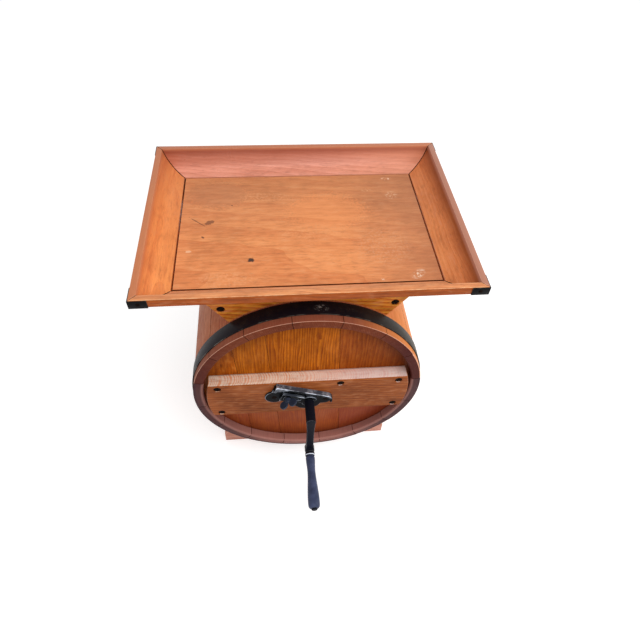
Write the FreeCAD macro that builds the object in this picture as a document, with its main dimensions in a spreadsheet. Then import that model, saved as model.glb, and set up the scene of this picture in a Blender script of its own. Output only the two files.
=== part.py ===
"""A small cylinder butter churn: a stave barrel lying on two cradle feet, with a coved tray on top.

The barrel's axis is level and runs along Y, with the crank at the -Y end. Lengths are in millimetres,
+Z is up, the floor is z = 0, and the origin is on the floor at the middle of the churn's outline.
"""

import FreeCAD, Part
import math
import os
from types import SimpleNamespace

import Sketcher

OUTPUT_FOLDER = "parts"

# Driving dimensions, in millimetres and degrees
SIZES = {
    # barrel: equal staves, a hoop at each end and two sunk heads
    "barrel_radius": 200,
    "barrel_length": 325,
    "barrel_lift": 45,
    "stave_thickness": 17,
    "stave_count": 16,
    "stave_joint_shift": 3,
    "chime_recess": 16,
    "chime_bevel": 2,
    "head_thickness": 12,
    "croze_depth": 5,
    "head_lean": 3.4,
    "head_joint_left": -118,
    "head_joint_middle": -62,
    "head_joint_right": 57,
    "hoop_width": 26,
    "hoop_thickness": 2,
    "hoop_inset": 12.5,
    # cross bars on the heads
    "bar_height": 95,
    "bar_thickness": 24,
    "bar_end_gap": 6,
    "bar_edge_bevel": 1.5,
    "bar_screw_inset": 17,
    "bar_screw_rise": 38,
    "bar_middle_screw_span": 108,
    # cradle feet below and the hopper above, cut to the same slant
    "cradle_inset": 42,
    "cradle_thickness": 20,
    "cradle_half_span": 126,
    "cradle_slant": 55,
    "foot_end_height": 27,
    "hopper_board_thickness": 20,
    "hopper_screw_rise": 31.7,
    # tray
    "tray_width": 490,
    "tray_depth": 360,
    "rim_above_barrel": 80,
    "rim_width": 9.4,
    "rim_face": 13.7,
    "cove_run": 45.5,
    "cove_drop": 33.4,
    "cove_sag": 7,
    "tray_foot_inset": 28,
    "ledge_thickness": 12,
    "lid_thickness": 11,
    "lid_gap": 1.7,
    "corner_iron_arm": 24.5,
    "corner_iron_height": 14,
    "corner_iron_drop": 1,
    "corner_iron_thickness": 1.2,
    # crank
    "shaft_radius": 8.5,
    "neck_radius": 6.1,
    "tang_size": 12,
    "tang_length": 30,
    "crank_throw": 105,
    "arm_standoff": 52,
    "arm_thickness": 9,
    "arm_width": 15.6,
    "arm_waist": 13,
    "arm_taper": 35,
    "shaft_chamfer": 1,
    "eye_radius": 9,
    "eye_thickness": 12.5,
    "spindle_radius": 4.5,
    "spindle_head_radius": 6,
    "spindle_head_length": 2.5,
    "grip_gap": 0.9,
    "grip_length": 105,
    "grip_collar_radius": 8.4,
    "grip_neck_radius": 7,
    "grip_swell_radius": 10.5,
    "grip_end_round": 4,
    "grip_collar_length": 8.5,
    "grip_neck_place": 31,
    "grip_swell_place": 88,
    "grip_waist_curve": 105,
    # crank lock on the front cross bar
    "lock_tilt": 22,
    "lock_plate_thickness": 4,
    "lock_rim_depth": 10,
    "lock_rim_width": 5,
    "lock_rim_rise": 24,
    "lock_tail": -70,
    "lock_guide_width": 4,
    "lock_left_ear": -60,
    "lock_left_ear_drop": -14,
    "lock_right_ear": 24,
    "lock_right_ear_rise": 8,
    "lock_ear_radius": 16,
    "lock_recess_rim": 4,
    "lock_right_screw": 28.5,
    "lock_bearing_radius": 26,
    "lock_bearing_drop": -8,
    "lock_boss_radius": 13.5,
    "lock_boss_rise": 0.6,
    "clamp_height": 16,
    "clamp_thickness": 5,
    "clamp_tail": -52,
    "clamp_jaw_reach": 11,
    "clamp_jaw_radius": 14,
    "clamp_travel": 20,
    "thumb_screw_place": -40,
    "thumb_screw_radius": 3,
    "thumb_screw_depth": 16,
    "thumb_hub_radius": 6,
    "thumb_hub_tip_radius": 4.2,
    "thumb_hub_length": 7,
    "wing_radius": 7.5,
    "wing_thickness": 3,
    "wing_reach": 8.7,
    "wing_lift": 2.3,
    "wing_turn": 52,
    "washer_radius": 8,
    "washer_thickness": 1.3,
    # bearings and dasher
    "bush_radius": 11,
    "leather_radius": 22,
    "leather_thickness": 3,
    "pivot_flange_radius": 26,
    "pivot_flange_thickness": 5,
    "pivot_pin_radius": 6,
    "pivot_pin_bite": 30,
    "dasher_shaft_radius": 20,
    "dasher_shaft_sides": 8,
    "blade_count": 4,
    "blade_tip_gap": 18,
    "blade_thickness": 10,
    "blade_first_angle": 45,
    "blade_end_gap": 10,
    "blade_hole_radius": 16,
    "blade_hole_count": 5,
    # screws
    "wood_screw_head_radius": 6.5,
    "wood_screw_head_depth": 4,
    "wood_screw_radius": 2.6,
    "wood_screw_sink": 1.5,
    "bar_screw_length": 33,
    "hopper_screw_length": 45,
    "iron_screw_head_radius": 5,
    "iron_screw_head_depth": 3,
    "iron_screw_radius": 2.3,
    "iron_screw_length": 19,
    "pivot_screw_circle": 18,
    "pivot_screw_count": 3,
    "corner_screw_radius": 1.5,
    "corner_screw_head_radius": 3.2,
    "corner_screw_head_length": 1,
    "corner_screw_length": 8,
    # clearances
    "running_fit": 0.05,
    "wood_fit": 0.1,
    "loose_fit": 0.3,
}


class Size:
    """A number that remembers the spreadsheet formula it comes from."""

    def __init__(self, value, formula=None):
        self.value = float(value)
        self.formula = formula if formula is not None else repr(float(value))

    def __add__(self, other):
        other = as_size(other)
        return Size(self.value + other.value, f"({self.formula} + {other.formula})")

    def __sub__(self, other):
        other = as_size(other)
        return Size(self.value - other.value, f"({self.formula} - {other.formula})")

    def __mul__(self, other):
        other = as_size(other)
        return Size(self.value * other.value, f"({self.formula} * {other.formula})")

    def __truediv__(self, other):
        other = as_size(other)
        return Size(self.value / other.value, f"({self.formula} / {other.formula})")

    def __radd__(self, other):
        return as_size(other) + self

    def __rsub__(self, other):
        return as_size(other) - self

    def __rmul__(self, other):
        return as_size(other) * self

    def __rtruediv__(self, other):
        return as_size(other) / self

    def __neg__(self):
        return Size(-self.value, f"(0 - {self.formula})")


def as_size(number):
    return number if isinstance(number, Size) else Size(number)


def root(size):
    return Size(math.sqrt(size.value), f"sqrt({size.formula})")


def sine(angle):
    return Size(math.sin(math.radians(angle.value)), f"sin({angle.formula})")


def cosine(angle):
    return Size(math.cos(math.radians(angle.value)), f"cos({angle.formula})")


def tangent(angle):
    return Size(math.tan(math.radians(angle.value)), f"tan({angle.formula})")


def on_circle(radius, distance):
    """How far along the other axis a circle is, where it is this distance from one axis."""
    return root(radius * radius - distance * distance)


document = FreeCAD.newDocument("BarrelChurn")
sheet = document.addObject("Spreadsheet::Sheet", "sizes")
for row, (alias, number) in enumerate(SIZES.items(), start=1):
    sheet.set(f"A{row}", alias)
    sheet.set(f"B{row}", str(number))
    sheet.setAlias(f"B{row}", alias)
document.recompute()
dim = SimpleNamespace(**{alias: Size(number, f"sizes.{alias}") for alias, number in SIZES.items()})

ZERO = Size(0)
# A length past every piece, and how far a drill starts outside the face that it enters
LONG = Size(2000)
PROUD = Size(1)
TURN_TO = {
    "X": FreeCAD.Rotation(FreeCAD.Vector(0, 1, 0), 90),
    "Y": FreeCAD.Rotation(FreeCAD.Vector(1, 0, 0), -90),
    "-Y": FreeCAD.Rotation(FreeCAD.Vector(1, 0, 0), 90),
    "-X": FreeCAD.Rotation(FreeCAD.Vector(0, 1, 0), -90),
    "Z": FreeCAD.Rotation(),
}

# Shared places, measured from the barrel's front end and its axis
axis_height = dim.barrel_radius + dim.barrel_lift
inner_radius = dim.barrel_radius - dim.stave_thickness
barrel_middle = dim.barrel_length / 2
head_back = dim.chime_recess + dim.head_thickness
bar_face = dim.chime_recess - dim.bar_thickness
bar_end_radius = inner_radius - dim.bar_end_gap
cradle_back = dim.cradle_inset + dim.cradle_thickness
cradle_meets_barrel = on_circle(dim.barrel_radius, dim.cradle_half_span)
rim_height = dim.barrel_radius + dim.rim_above_barrel
lid_top = rim_height - dim.cove_drop
tray_floor = lid_top - dim.lid_thickness
hopper_top = tray_floor - dim.ledge_thickness
corner_iron_middle = rim_height - dim.rim_face / 2 - dim.corner_iron_drop
hopper_screw_height = cradle_meets_barrel + dim.hopper_screw_rise
tray_front = barrel_middle - dim.tray_depth / 2
tray_back = barrel_middle + dim.tray_depth / 2
eye_back = dim.arm_standoff + dim.arm_thickness / 2 - dim.eye_thickness / 2
grip_start = eye_back + dim.eye_thickness + dim.grip_gap
grip_reach = grip_start + dim.grip_length
crank_reach = grip_reach + dim.spindle_head_length + dim.loose_fit
clamp_back = dim.lock_plate_thickness + dim.lock_boss_rise + dim.loose_fit
lock_top = clamp_back + dim.clamp_thickness
shaft_end = head_back + dim.leather_thickness

# The origin is on the floor, midway between the spindle's end and the screws in the tray's back irons
front_y = (crank_reach - tray_back - dim.corner_iron_thickness - dim.corner_screw_head_length) / 2


def at(across, along, up):
    """A point given from the barrel's front end and axis, in the part's own frame."""
    return (as_size(across), front_y + along, axis_height + up)


def bind(thing, name, size):
    size = as_size(size)
    setattr(thing, name, size.value)
    thing.setExpression(name, size.formula)


def place(thing, corner, rotation=None, axis=None, angle=None):
    """Puts an object at a bound place, turned by a fixed rotation or by a bound angle about an axis."""
    base = FreeCAD.Vector(*(as_size(part).value for part in corner))
    if axis is not None:
        rotation = FreeCAD.Rotation(axis, as_size(angle).value)
    thing.Placement = FreeCAD.Placement(base, rotation or FreeCAD.Rotation())
    for letter, part in zip("xyz", corner):
        thing.setExpression(f"Placement.Base.{letter}", as_size(part).formula)
    if axis is not None:
        thing.setExpression("Placement.Rotation.Angle", as_size(angle).formula)
    return thing


def box(name, size, corner):
    block = document.addObject("Part::Box", name)
    for side, length in zip(("Length", "Width", "Height"), size):
        bind(block, side, length)
    return place(block, corner)


def rod(name, radius, length, start, axis="Y"):
    cylinder = document.addObject("Part::Cylinder", name)
    bind(cylinder, "Radius", radius)
    bind(cylinder, "Height", length)
    return place(cylinder, start, TURN_TO[axis])


def cone(name, start_radius, end_radius, length, start, axis="Y"):
    frustum = document.addObject("Part::Cone", name)
    bind(frustum, "Radius1", start_radius)
    bind(frustum, "Radius2", end_radius)
    bind(frustum, "Height", length)
    return place(frustum, start, TURN_TO[axis])


def prism(name, sides, radius, length, start, rotation):
    bar = document.addObject("Part::Prism", name)
    bar.Polygon = sides
    bind(bar, "Circumradius", radius)
    bind(bar, "Height", length)
    return place(bar, start, rotation)


def fuse(name, *solids):
    joined = document.addObject("Part::MultiFuse", name)
    joined.Shapes = list(solids)
    joined.Refine = True
    return joined


def common(name, *solids):
    shared = document.addObject("Part::MultiCommon", name)
    shared.Shapes = list(solids)
    return shared


def cut(name, solid, *tools):
    tool = tools[0] if len(tools) == 1 else fuse(f"{name}Tools", *tools)
    result = document.addObject("Part::Cut", name)
    result.Base = solid
    result.Tool = tool
    return result


def new_body(name, corner=None):
    body = document.addObject("PartDesign::Body", name)
    if corner is not None:
        place(body, corner)
    return body


def plane_of(body, role):
    return next(feature for feature in body.Origin.OriginFeatures if feature.Role == role)


def pin_point(sketch, edge, end, across, up):
    """Ties a sketch point to bound coordinates."""
    for kind, size, axis in (("DistanceX", across, -2), ("DistanceY", up, -1)):
        size = as_size(size)
        if size.formula == ZERO.formula:
            sketch.addConstraint(Sketcher.Constraint("PointOnObject", edge, end, axis))
            continue
        index = sketch.addConstraint(Sketcher.Constraint(kind, -1, 1, edge, end, size.value))
        sketch.setExpression(f"Constraints[{index}]", size.formula)


def outline(sketch, corners):
    """Draws a closed outline. A corner is (x, y), or (x, y, radius) where an arc leaves it.

    A positive radius bows to the right of the way the outline goes.
    """
    places = [FreeCAD.Vector(as_size(corner[0]).value, as_size(corner[1]).value, 0) for corner in corners]
    starts = []
    ends = []
    for index, corner in enumerate(corners):
        start = places[index]
        end = places[(index + 1) % len(corners)]
        if len(corner) == 2:
            edge = sketch.addGeometry(Part.LineSegment(start, end), False)
            starts.append((edge, 1))
            ends.append((edge, 2))
            continue
        radius = corner[2].value
        chord = end - start
        half = chord.Length / 2
        sag = abs(radius) - math.sqrt(max(radius * radius - half * half, 0))
        side = FreeCAD.Vector(chord.y, -chord.x, 0).normalize()
        crown = (start + end) * 0.5 + side * math.copysign(sag, radius)
        forward = radius > 0
        first, last = (start, end) if forward else (end, start)
        edge = sketch.addGeometry(Part.Arc(first, crown, last), False)
        starts.append((edge, 1 if forward else 2))
        ends.append((edge, 2 if forward else 1))
        size = corner[2] if forward else -corner[2]
        index = sketch.addConstraint(Sketcher.Constraint("Radius", edge, abs(radius)))
        sketch.setExpression(f"Constraints[{index}]", size.formula)
    for index, corner in enumerate(corners):
        sketch.addConstraint(Sketcher.Constraint("Coincident", *ends[index - 1], *starts[index]))
        pin_point(sketch, *starts[index], corner[0], corner[1])


def round_hole(sketch, radius, across, up):
    """Adds a circle, which is a hole where it lies inside an outline."""
    centre = FreeCAD.Vector(as_size(across).value, as_size(up).value, 0)
    edge = sketch.addGeometry(Part.Circle(centre, FreeCAD.Vector(0, 0, 1), radius.value), False)
    pin_point(sketch, edge, 3, across, up)
    index = sketch.addConstraint(Sketcher.Constraint("Radius", edge, radius.value))
    sketch.setExpression(f"Constraints[{index}]", radius.formula)


def new_sketch(body, role, offset=None):
    sketch = body.newObject("Sketcher::SketchObject", f"{body.Name}Sketch")
    sketch.AttachmentSupport = [(plane_of(body, role), "")]
    sketch.MapMode = "FlatFace"
    if offset is not None:
        sketch.AttachmentOffset = FreeCAD.Placement(FreeCAD.Vector(0, 0, offset.value), FreeCAD.Rotation())
        sketch.setExpression("AttachmentOffset.Base.z", offset.formula)
    return sketch


def pad(body, role, corners, length, offset=None, midplane=False, reverse=False, holes=()):
    """Draws an outline on one of the body's planes and pads it."""
    sketch = new_sketch(body, role, offset)
    outline(sketch, corners)
    for radius, across, up in holes:
        round_hole(sketch, radius, across, up)
    feature = body.newObject("PartDesign::Pad", f"{body.Name}Pad")
    feature.Profile = sketch
    bind(feature, "Length", length)
    feature.Midplane = midplane
    feature.Reversed = reverse
    return feature


def revolve(body, corners, angle=Size(360)):
    """Draws half a section on the XY plane, x out from the axis, and turns it about Y."""
    sketch = new_sketch(body, "XY_Plane")
    outline(sketch, corners)
    feature = body.newObject("PartDesign::Revolution", f"{body.Name}Revolution")
    feature.Profile = sketch
    feature.ReferenceAxis = (sketch, ["V_Axis"])
    bind(feature, "Angle", angle)
    feature.Midplane = True
    return feature


def radial(body, angle_from_top):
    """Turns a body drawn along +X about the barrel's axis, to an angle measured from the top towards +X."""
    return place(body, at(0, 0, 0), axis=FreeCAD.Vector(0, 1, 0), angle=angle_from_top - 90)


def from_end(is_front, inset, thickness):
    """Where a piece starts along the barrel, given its distance from the front or back end."""
    return as_size(inset) if is_front else dim.barrel_length - inset - thickness


finished = {}


def keep(node, thing):
    """Names a finished sub-part. Its label is the name of its file."""
    thing.Label = node
    finished[node] = thing
    return thing


ENDS = (("front", True), ("rear", False))
SIDES = (("left", -1), ("right", 1))


# Screws, and the holes they go in
def wood_screw(name, start, length, axis):
    """A countersunk screw. start is the middle of the surface that it is driven into."""
    step = {"Y": 1, "-Y": -1}[axis]
    across, along, up = start
    seat = along + dim.wood_screw_sink * step
    below = seat + dim.wood_screw_head_depth * step
    head = cone(
        f"{name}Head",
        dim.wood_screw_head_radius,
        dim.wood_screw_radius,
        dim.wood_screw_head_depth,
        (across, seat, up),
        axis,
    )
    shank = rod(
        f"{name}Shank", dim.wood_screw_radius, length - dim.wood_screw_head_depth, (across, below, up), axis
    )
    return fuse(name, head, shank)


def wood_screw_hole(name, start, length, axis):
    step = {"Y": 1, "-Y": -1}[axis]
    across, along, up = start
    seat = along + dim.wood_screw_sink * step
    fit = dim.wood_fit
    outside = (across, along - PROUD * step, up)
    mouth = rod(f"{name}Mouth", dim.wood_screw_head_radius + fit, dim.wood_screw_sink + PROUD, outside, axis)
    head = cone(
        f"{name}Seat",
        dim.wood_screw_head_radius + fit,
        dim.wood_screw_radius + fit,
        dim.wood_screw_head_depth,
        (across, seat, up),
        axis,
    )
    bore = rod(f"{name}Bore", dim.wood_screw_radius + fit, length + fit, (across, seat, up), axis)
    return fuse(name, mouth, head, bore)


def bar_screw_places(is_front):
    face = bar_face if is_front else dim.barrel_length - bar_face
    rise = dim.bar_screw_rise
    half = on_circle(bar_end_radius, rise) - dim.bar_screw_inset
    middle = dim.bar_middle_screw_span / 2
    spots = ((half, rise), (half, -rise), (middle, rise))
    return [at(side * reach, face, up) for side in (-1, 1) for reach, up in spots]


def hopper_screw_places(is_front):
    face = dim.cradle_inset if is_front else dim.barrel_length - dim.cradle_inset
    slant_run = dim.hopper_screw_rise / tangent(dim.cradle_slant)
    half_board = dim.hopper_board_thickness / sine(dim.cradle_slant) / 2
    reach = dim.cradle_half_span + slant_run - half_board
    return [at(side * reach, face, hopper_screw_height) for side in (-1, 1)]


frame_screws = []
bar_holes = {}
hopper_holes = {}
for end, is_front in ENDS:
    way = "Y" if is_front else "-Y"
    bar_holes[end] = []
    hopper_holes[end] = []
    for index, spot in enumerate(bar_screw_places(is_front)):
        name = f"{end}_bar_screw_{index}"
        frame_screws.append(wood_screw(name, spot, dim.bar_screw_length, way))
        bar_holes[end].append(wood_screw_hole(f"{name}_hole", spot, dim.bar_screw_length, way))
    for index, spot in enumerate(hopper_screw_places(is_front)):
        name = f"{end}_hopper_screw_{index}"
        frame_screws.append(wood_screw(name, spot, dim.hopper_screw_length, way))
        hopper_holes[end].append(wood_screw_hole(f"{name}_hole", spot, dim.hopper_screw_length, way))
keep("frame_screws", fuse("FrameScrews", *frame_screws))


# Staves: whole ones, and short pairs where the hopper's mouth opens into the barrel
def stave_section(start, end, croze_at_start, croze_at_end):
    """Half section of a stave along the barrel, with the croze that holds the head and the chime's bevel."""
    groove = inner_radius + dim.croze_depth
    near = dim.chime_recess - dim.wood_fit
    far = head_back + dim.wood_fit
    bevel = dim.chime_bevel
    corners = [(dim.barrel_radius, start), (dim.barrel_radius, end)]
    if croze_at_end:
        length = dim.barrel_length
        corners += [
            (inner_radius + bevel, end),
            (inner_radius, end - bevel),
            (inner_radius, length - near),
            (groove, length - near),
            (groove, length - far),
            (inner_radius, length - far),
        ]
    else:
        corners += [(inner_radius, end)]
    if croze_at_start:
        corners += [
            (inner_radius, far),
            (groove, far),
            (groove, near),
            (inner_radius, near),
            (inner_radius, start + bevel),
            (inner_radius + bevel, start),
        ]
    else:
        corners += [(inner_radius, start)]
    return corners


def make_staves():
    step = 360 / dim.stave_count
    cradle_angle = math.degrees(math.asin(dim.cradle_half_span.value / dim.barrel_radius.value))
    mouth_staves = int(2 * cradle_angle / step.value)
    first = dim.stave_joint_shift - step * (mouth_staves / 2)
    short = []
    whole = 0
    for index in range(int(dim.stave_count.value)):
        angle = first + step * (index + 0.5)
        if index < mouth_staves:
            sections = [
                ("Front", stave_section(ZERO, cradle_back, True, False)),
                ("Rear", stave_section(dim.barrel_length - cradle_back, dim.barrel_length, False, True)),
            ]
            for end, section in sections:
                body = new_body(f"ShortStave{end}{index + 1}")
                revolve(body, section, step)
                short.append(radial(body, angle))
            continue
        whole += 1
        body = new_body(f"Stave{whole}")
        revolve(body, stave_section(ZERO, dim.barrel_length, True, True), step)
        keep(f"stave_{whole:02d}", radial(body, angle))
    group = document.addObject("Part::Compound", "ShortStaves")
    group.Links = short
    keep("short_staves", group)


# Heads: boards edge to edge, held in the crozes
def make_head(end, is_front, shaft_hole):
    joints = [-LONG, dim.head_joint_left, dim.head_joint_middle, dim.head_joint_right, LONG]
    start = from_end(is_front, dim.chime_recess, dim.head_thickness)
    lean = -dim.head_lean if is_front else dim.head_lean
    radius = inner_radius + dim.croze_depth - dim.wood_fit
    for index in range(len(joints) - 1):
        left = joints[index]
        right = joints[index + 1]
        disc = rod(f"{end}HeadDisc{index}", radius, dim.head_thickness, (0, 0, 0))
        strip_size = (right - left, dim.head_thickness, LONG)
        strip = box(f"{end}HeadStrip{index}", strip_size, (left, 0, -LONG / 2))
        board = common(f"{end}HeadBoard{index}", disc, strip)
        place(board, at(0, start, 0), axis=FreeCAD.Vector(0, 1, 0), angle=lean)
        drilled = cut(f"{end}HeadDrilled{index}", board, shaft_hole, *bar_holes[end])
        keep(f"{end}_head_board_{index + 1}", drilled)


def make_crossbar(end, is_front, *holes):
    """A board across the head, its ends cut to the curve of the staves and its arrises taken off."""
    start = from_end(is_front, bar_face, dim.bar_thickness)
    body = new_body(f"{end}Bar", at(0, 0, 0))
    half = dim.bar_height / 2
    reach = on_circle(bar_end_radius, half)
    curve = bar_end_radius
    corners = [(-reach, -half), (reach, -half, curve), (reach, half), (-reach, half, curve)]
    feature = pad(body, "XZ_Plane", corners, dim.bar_thickness, offset=-start, reverse=True)
    document.recompute()
    outer = front_y.value + (bar_face.value if is_front else dim.barrel_length.value - bar_face.value)
    names = [
        f"Edge{number}"
        for number, edge in enumerate(feature.Shape.Edges, start=1)
        if all(abs(vertex.Point.y + body.Placement.Base.y - outer) < 0.01 for vertex in edge.Vertexes)
    ]
    bevelled = body.newObject("PartDesign::Chamfer", f"{end}BarEdges")
    bevelled.Base = (feature, names)
    bind(bevelled, "Size", dim.bar_edge_bevel)
    keep(f"{end}_crossbar", cut(f"{end}Crossbar", body, *holes, *bar_holes[end]))


def make_hoop(end, is_front):
    start = from_end(is_front, dim.hoop_inset, dim.hoop_width)
    body = new_body(f"{end}Hoop", at(0, start, 0))
    inside = dim.barrel_radius + dim.wood_fit
    outside = inside + dim.hoop_thickness
    revolve(body, [(inside, ZERO), (outside, ZERO), (outside, dim.hoop_width), (inside, dim.hoop_width)])
    keep(f"{end}_hoop", body)


# Feet and hopper, whose boards share one slant and are hollowed to sit on the barrel
def barrel_tool(name):
    return rod(name, dim.barrel_radius + dim.wood_fit, LONG, at(0, -LONG / 2, 0))


def make_foot(end, is_front):
    start = from_end(is_front, dim.cradle_inset, dim.cradle_thickness)
    body = new_body(f"{end}FootBlank", at(0, start, 0))
    meet = -cradle_meets_barrel
    floor = -axis_height
    shoulder = floor + dim.foot_end_height
    span = dim.cradle_half_span
    wide = span + (meet - shoulder) / tangent(dim.cradle_slant)
    right = [(wide, floor), (wide, shoulder), (span, meet)]
    left = [(-across, up) for across, up in reversed(right)]
    pad(body, "XZ_Plane", right + left, dim.cradle_thickness, reverse=True)
    keep(f"{end}_foot", cut(f"{end}Foot", body, barrel_tool(f"{end}FootHollow")))


def slant_reach(height):
    """How far the hopper's slanted outside is from the middle at a height above the axis."""
    return dim.cradle_half_span + (height - cradle_meets_barrel) / tangent(dim.cradle_slant)


def make_saddle(end, is_front):
    start = from_end(is_front, dim.cradle_inset, dim.cradle_thickness)
    body = new_body(f"{end}SaddleBlank", at(0, start, 0))
    foot = dim.cradle_half_span
    low = cradle_meets_barrel
    wide = slant_reach(hopper_top)
    corners = [(-foot, low), (foot, low), (wide, hopper_top), (-wide, hopper_top)]
    pad(body, "XZ_Plane", corners, dim.cradle_thickness, reverse=True)
    hollow = barrel_tool(f"{end}SaddleHollow")
    keep(f"{end}_saddle", cut(f"{end}Saddle", body, hollow, *hopper_holes[end]))


def make_hopper_board(side, sign):
    """A slanted side board between the saddles, up to the lid and down to the barrel."""
    body = new_body(f"{side}HopperBlank", at(0, cradle_back, 0))
    thick = dim.hopper_board_thickness / sine(dim.cradle_slant)
    top = slant_reach(tray_floor)
    low = cradle_meets_barrel / 2
    bottom = slant_reach(low)
    corners = [(bottom - thick, low), (bottom, low), (top, tray_floor), (top - thick, tray_floor)]
    corners = [(sign * corner[0], corner[1]) for corner in corners]
    pad(body, "XZ_Plane", corners, dim.barrel_length - 2 * cradle_back, reverse=True)
    holes = hopper_holes["front"] + hopper_holes["rear"]
    hollow = barrel_tool(f"{side}HopperHollow")
    keep(f"{side}_hopper_board", cut(f"{side}HopperBoard", body, hollow, *holes))


def make_ledge(end, is_front):
    """A flat rail under the tray, level with the lid's underside, its outer edge in line with the tray's slant."""
    way = 1 if is_front else -1
    outer = dim.tray_foot_inset
    inner = cradle_back - tray_front
    undercut = outer * dim.ledge_thickness / (rim_height - dim.rim_face - tray_floor)
    section = [
        (way * (outer + undercut), hopper_top),
        (way * inner, hopper_top),
        (way * inner, tray_floor),
        (way * outer, tray_floor),
    ]
    body = new_body(f"{end}Ledge", at(0, tray_front if is_front else tray_back, 0))
    pad(body, "YZ_Plane", section, dim.tray_width - 2 * outer, midplane=True)
    keep(f"{end}_ledge", body)


# Tray: four coved boards, mitred at the corners, with an iron round each corner
def cove_radius():
    run = dim.cove_run - dim.rim_width
    chord_squared = run * run + dim.cove_drop * dim.cove_drop
    return (chord_squared / 4 + dim.cove_sag * dim.cove_sag) / (2 * dim.cove_sag)


def tray_board_blank(name, length, corner, turn):
    """A board drawn along X with its outer face on the X axis and the cove towards +Y."""
    section = new_body(f"{name}Section")
    top = rim_height
    corners = [
        (ZERO, top - dim.rim_face),
        (dim.tray_foot_inset, tray_floor),
        (dim.cove_run, tray_floor),
        (dim.cove_run, lid_top, -cove_radius()),
        (dim.rim_width, top),
        (ZERO, top),
    ]
    pad(section, "YZ_Plane", corners, length, midplane=True)
    plan = new_body(f"{name}Mitres")
    half = length / 2
    width = dim.cove_run
    shape = [(-half, ZERO), (half, ZERO), (half - width, width), (width - half, width)]
    pad(plan, "XY_Plane", shape, LONG)
    board = common(f"{name}Blank", section, plan)
    return place(board, corner, FreeCAD.Rotation(FreeCAD.Vector(0, 0, 1), turn))


def corner_iron(name, side, is_front):
    """A strip bent round a tray corner, on the rim's outer faces."""
    along = tray_front if is_front else tray_back
    way = 1 if is_front else -1
    body = new_body(name, at(side * dim.tray_width / 2, along, corner_iron_middle))
    thick = dim.corner_iron_thickness
    arm = dim.corner_iron_arm
    corners = [
        (side * thick, -way * thick),
        (side * thick, way * arm),
        (ZERO, way * arm),
        (ZERO, ZERO),
        (-side * arm, ZERO),
        (-side * arm, -way * thick),
    ]
    pad(body, "XY_Plane", corners, dim.corner_iron_height, midplane=True)
    return body


def corner_screw_parts(name, start, axis, extra):
    head = rod(
        f"{name}Head", dim.corner_screw_head_radius + extra, dim.corner_screw_head_length, start[0], axis
    )
    shank = rod(
        f"{name}Shank",
        dim.corner_screw_radius + extra,
        dim.corner_screw_length + dim.corner_iron_thickness + extra,
        start[1],
        axis,
    )
    return head, shank


def make_corner_irons():
    """Returns the screws' bores, which the boards are drilled with."""
    irons = []
    screws = []
    bores = []
    height = corner_iron_middle
    half = dim.tray_width / 2
    thick = dim.corner_iron_thickness
    out = thick + dim.corner_screw_head_length
    reach = dim.corner_iron_arm / 2
    for side in (-1, 1):
        for end, is_front in ENDS:
            way = 1 if is_front else -1
            edge = tray_front if is_front else tray_back
            name = f"{end}Iron{'Right' if side > 0 else 'Left'}"
            iron = corner_iron(name, side, is_front)
            spots = [
                ("Y" if is_front else "-Y", (side * (half - reach), edge), (0, -way)),
                ("-X" if side > 0 else "X", (side * half, edge + way * reach), (side, 0)),
            ]
            iron_bores = []
            for index, (axis, (across, along), (out_across, out_along)) in enumerate(spots):
                head_start = at(across + out * out_across, along + out * out_along, height)
                shank_start = at(across + thick * out_across, along + thick * out_along, height)
                starts = (head_start, shank_start)
                screw = corner_screw_parts(f"{name}Screw{index}", starts, axis, ZERO)
                screws.append(fuse(f"{name}Screw{index}", *screw))
                bore = corner_screw_parts(f"{name}Bore{index}", starts, axis, dim.wood_fit)[1]
                iron_bores.append(bore)
            irons.append(cut(f"{name}Drilled", iron, *iron_bores))
            bores += iron_bores
    keep("corner_irons", fuse("CornerIrons", *irons))
    keep("corner_screws", fuse("CornerScrews", *screws))
    return bores


def make_tray():
    bores = make_corner_irons()
    half = dim.tray_width / 2
    boards = (
        ("front_tray_board", dim.tray_width, at(0, tray_front, 0), 0),
        ("right_tray_board", dim.tray_depth, at(half, barrel_middle, 0), 90),
        ("rear_tray_board", dim.tray_width, at(0, tray_back, 0), 180),
        ("left_tray_board", dim.tray_depth, at(-half, barrel_middle, 0), -90),
    )
    for node, length, corner, turn in boards:
        blank = tray_board_blank(node.title().replace("_", ""), length, corner, turn)
        keep(node, cut(f"{node}_drilled", blank, *bores))


def make_lid():
    width = dim.tray_width - 2 * (dim.cove_run + dim.lid_gap)
    depth = dim.tray_depth - 2 * (dim.cove_run + dim.lid_gap)
    panel = box(
        "LidPanel", (width, depth, dim.lid_thickness), at(-width / 2, barrel_middle - depth / 2, tray_floor)
    )
    keep("lid_panel", panel)


# Crank lock, drawn with X along the plate, Z across it and -Y out from the bar, then tilted about the shaft
def on_bar(thing):
    return place(thing, at(0, bar_face, 0), axis=FreeCAD.Vector(0, 1, 0), angle=dim.lock_tilt)


def thumb_centre():
    """Where the thumb screw goes into the bar's face."""
    reach = dim.thumb_screw_place
    return at(reach * cosine(dim.lock_tilt), bar_face, -reach * sine(dim.lock_tilt))


def iron_screw(name, across, up, fit=ZERO):
    """A countersunk screw, its head level with the plate's face."""
    face = -dim.lock_plate_thickness
    head = cone(
        f"{name}Head",
        dim.iron_screw_head_radius + fit,
        dim.iron_screw_radius + fit,
        dim.iron_screw_head_depth,
        (across, face, up),
    )
    radius = dim.iron_screw_radius + fit
    shank = rod(f"{name}Shank", radius, dim.iron_screw_length + fit, (across, face, up))
    return fuse(name, head, shank)


def lock_screw_places():
    return [
        (dim.lock_left_ear, dim.lock_left_ear_drop),
        (dim.lock_right_screw, dim.lock_right_ear_rise),
    ]


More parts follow.
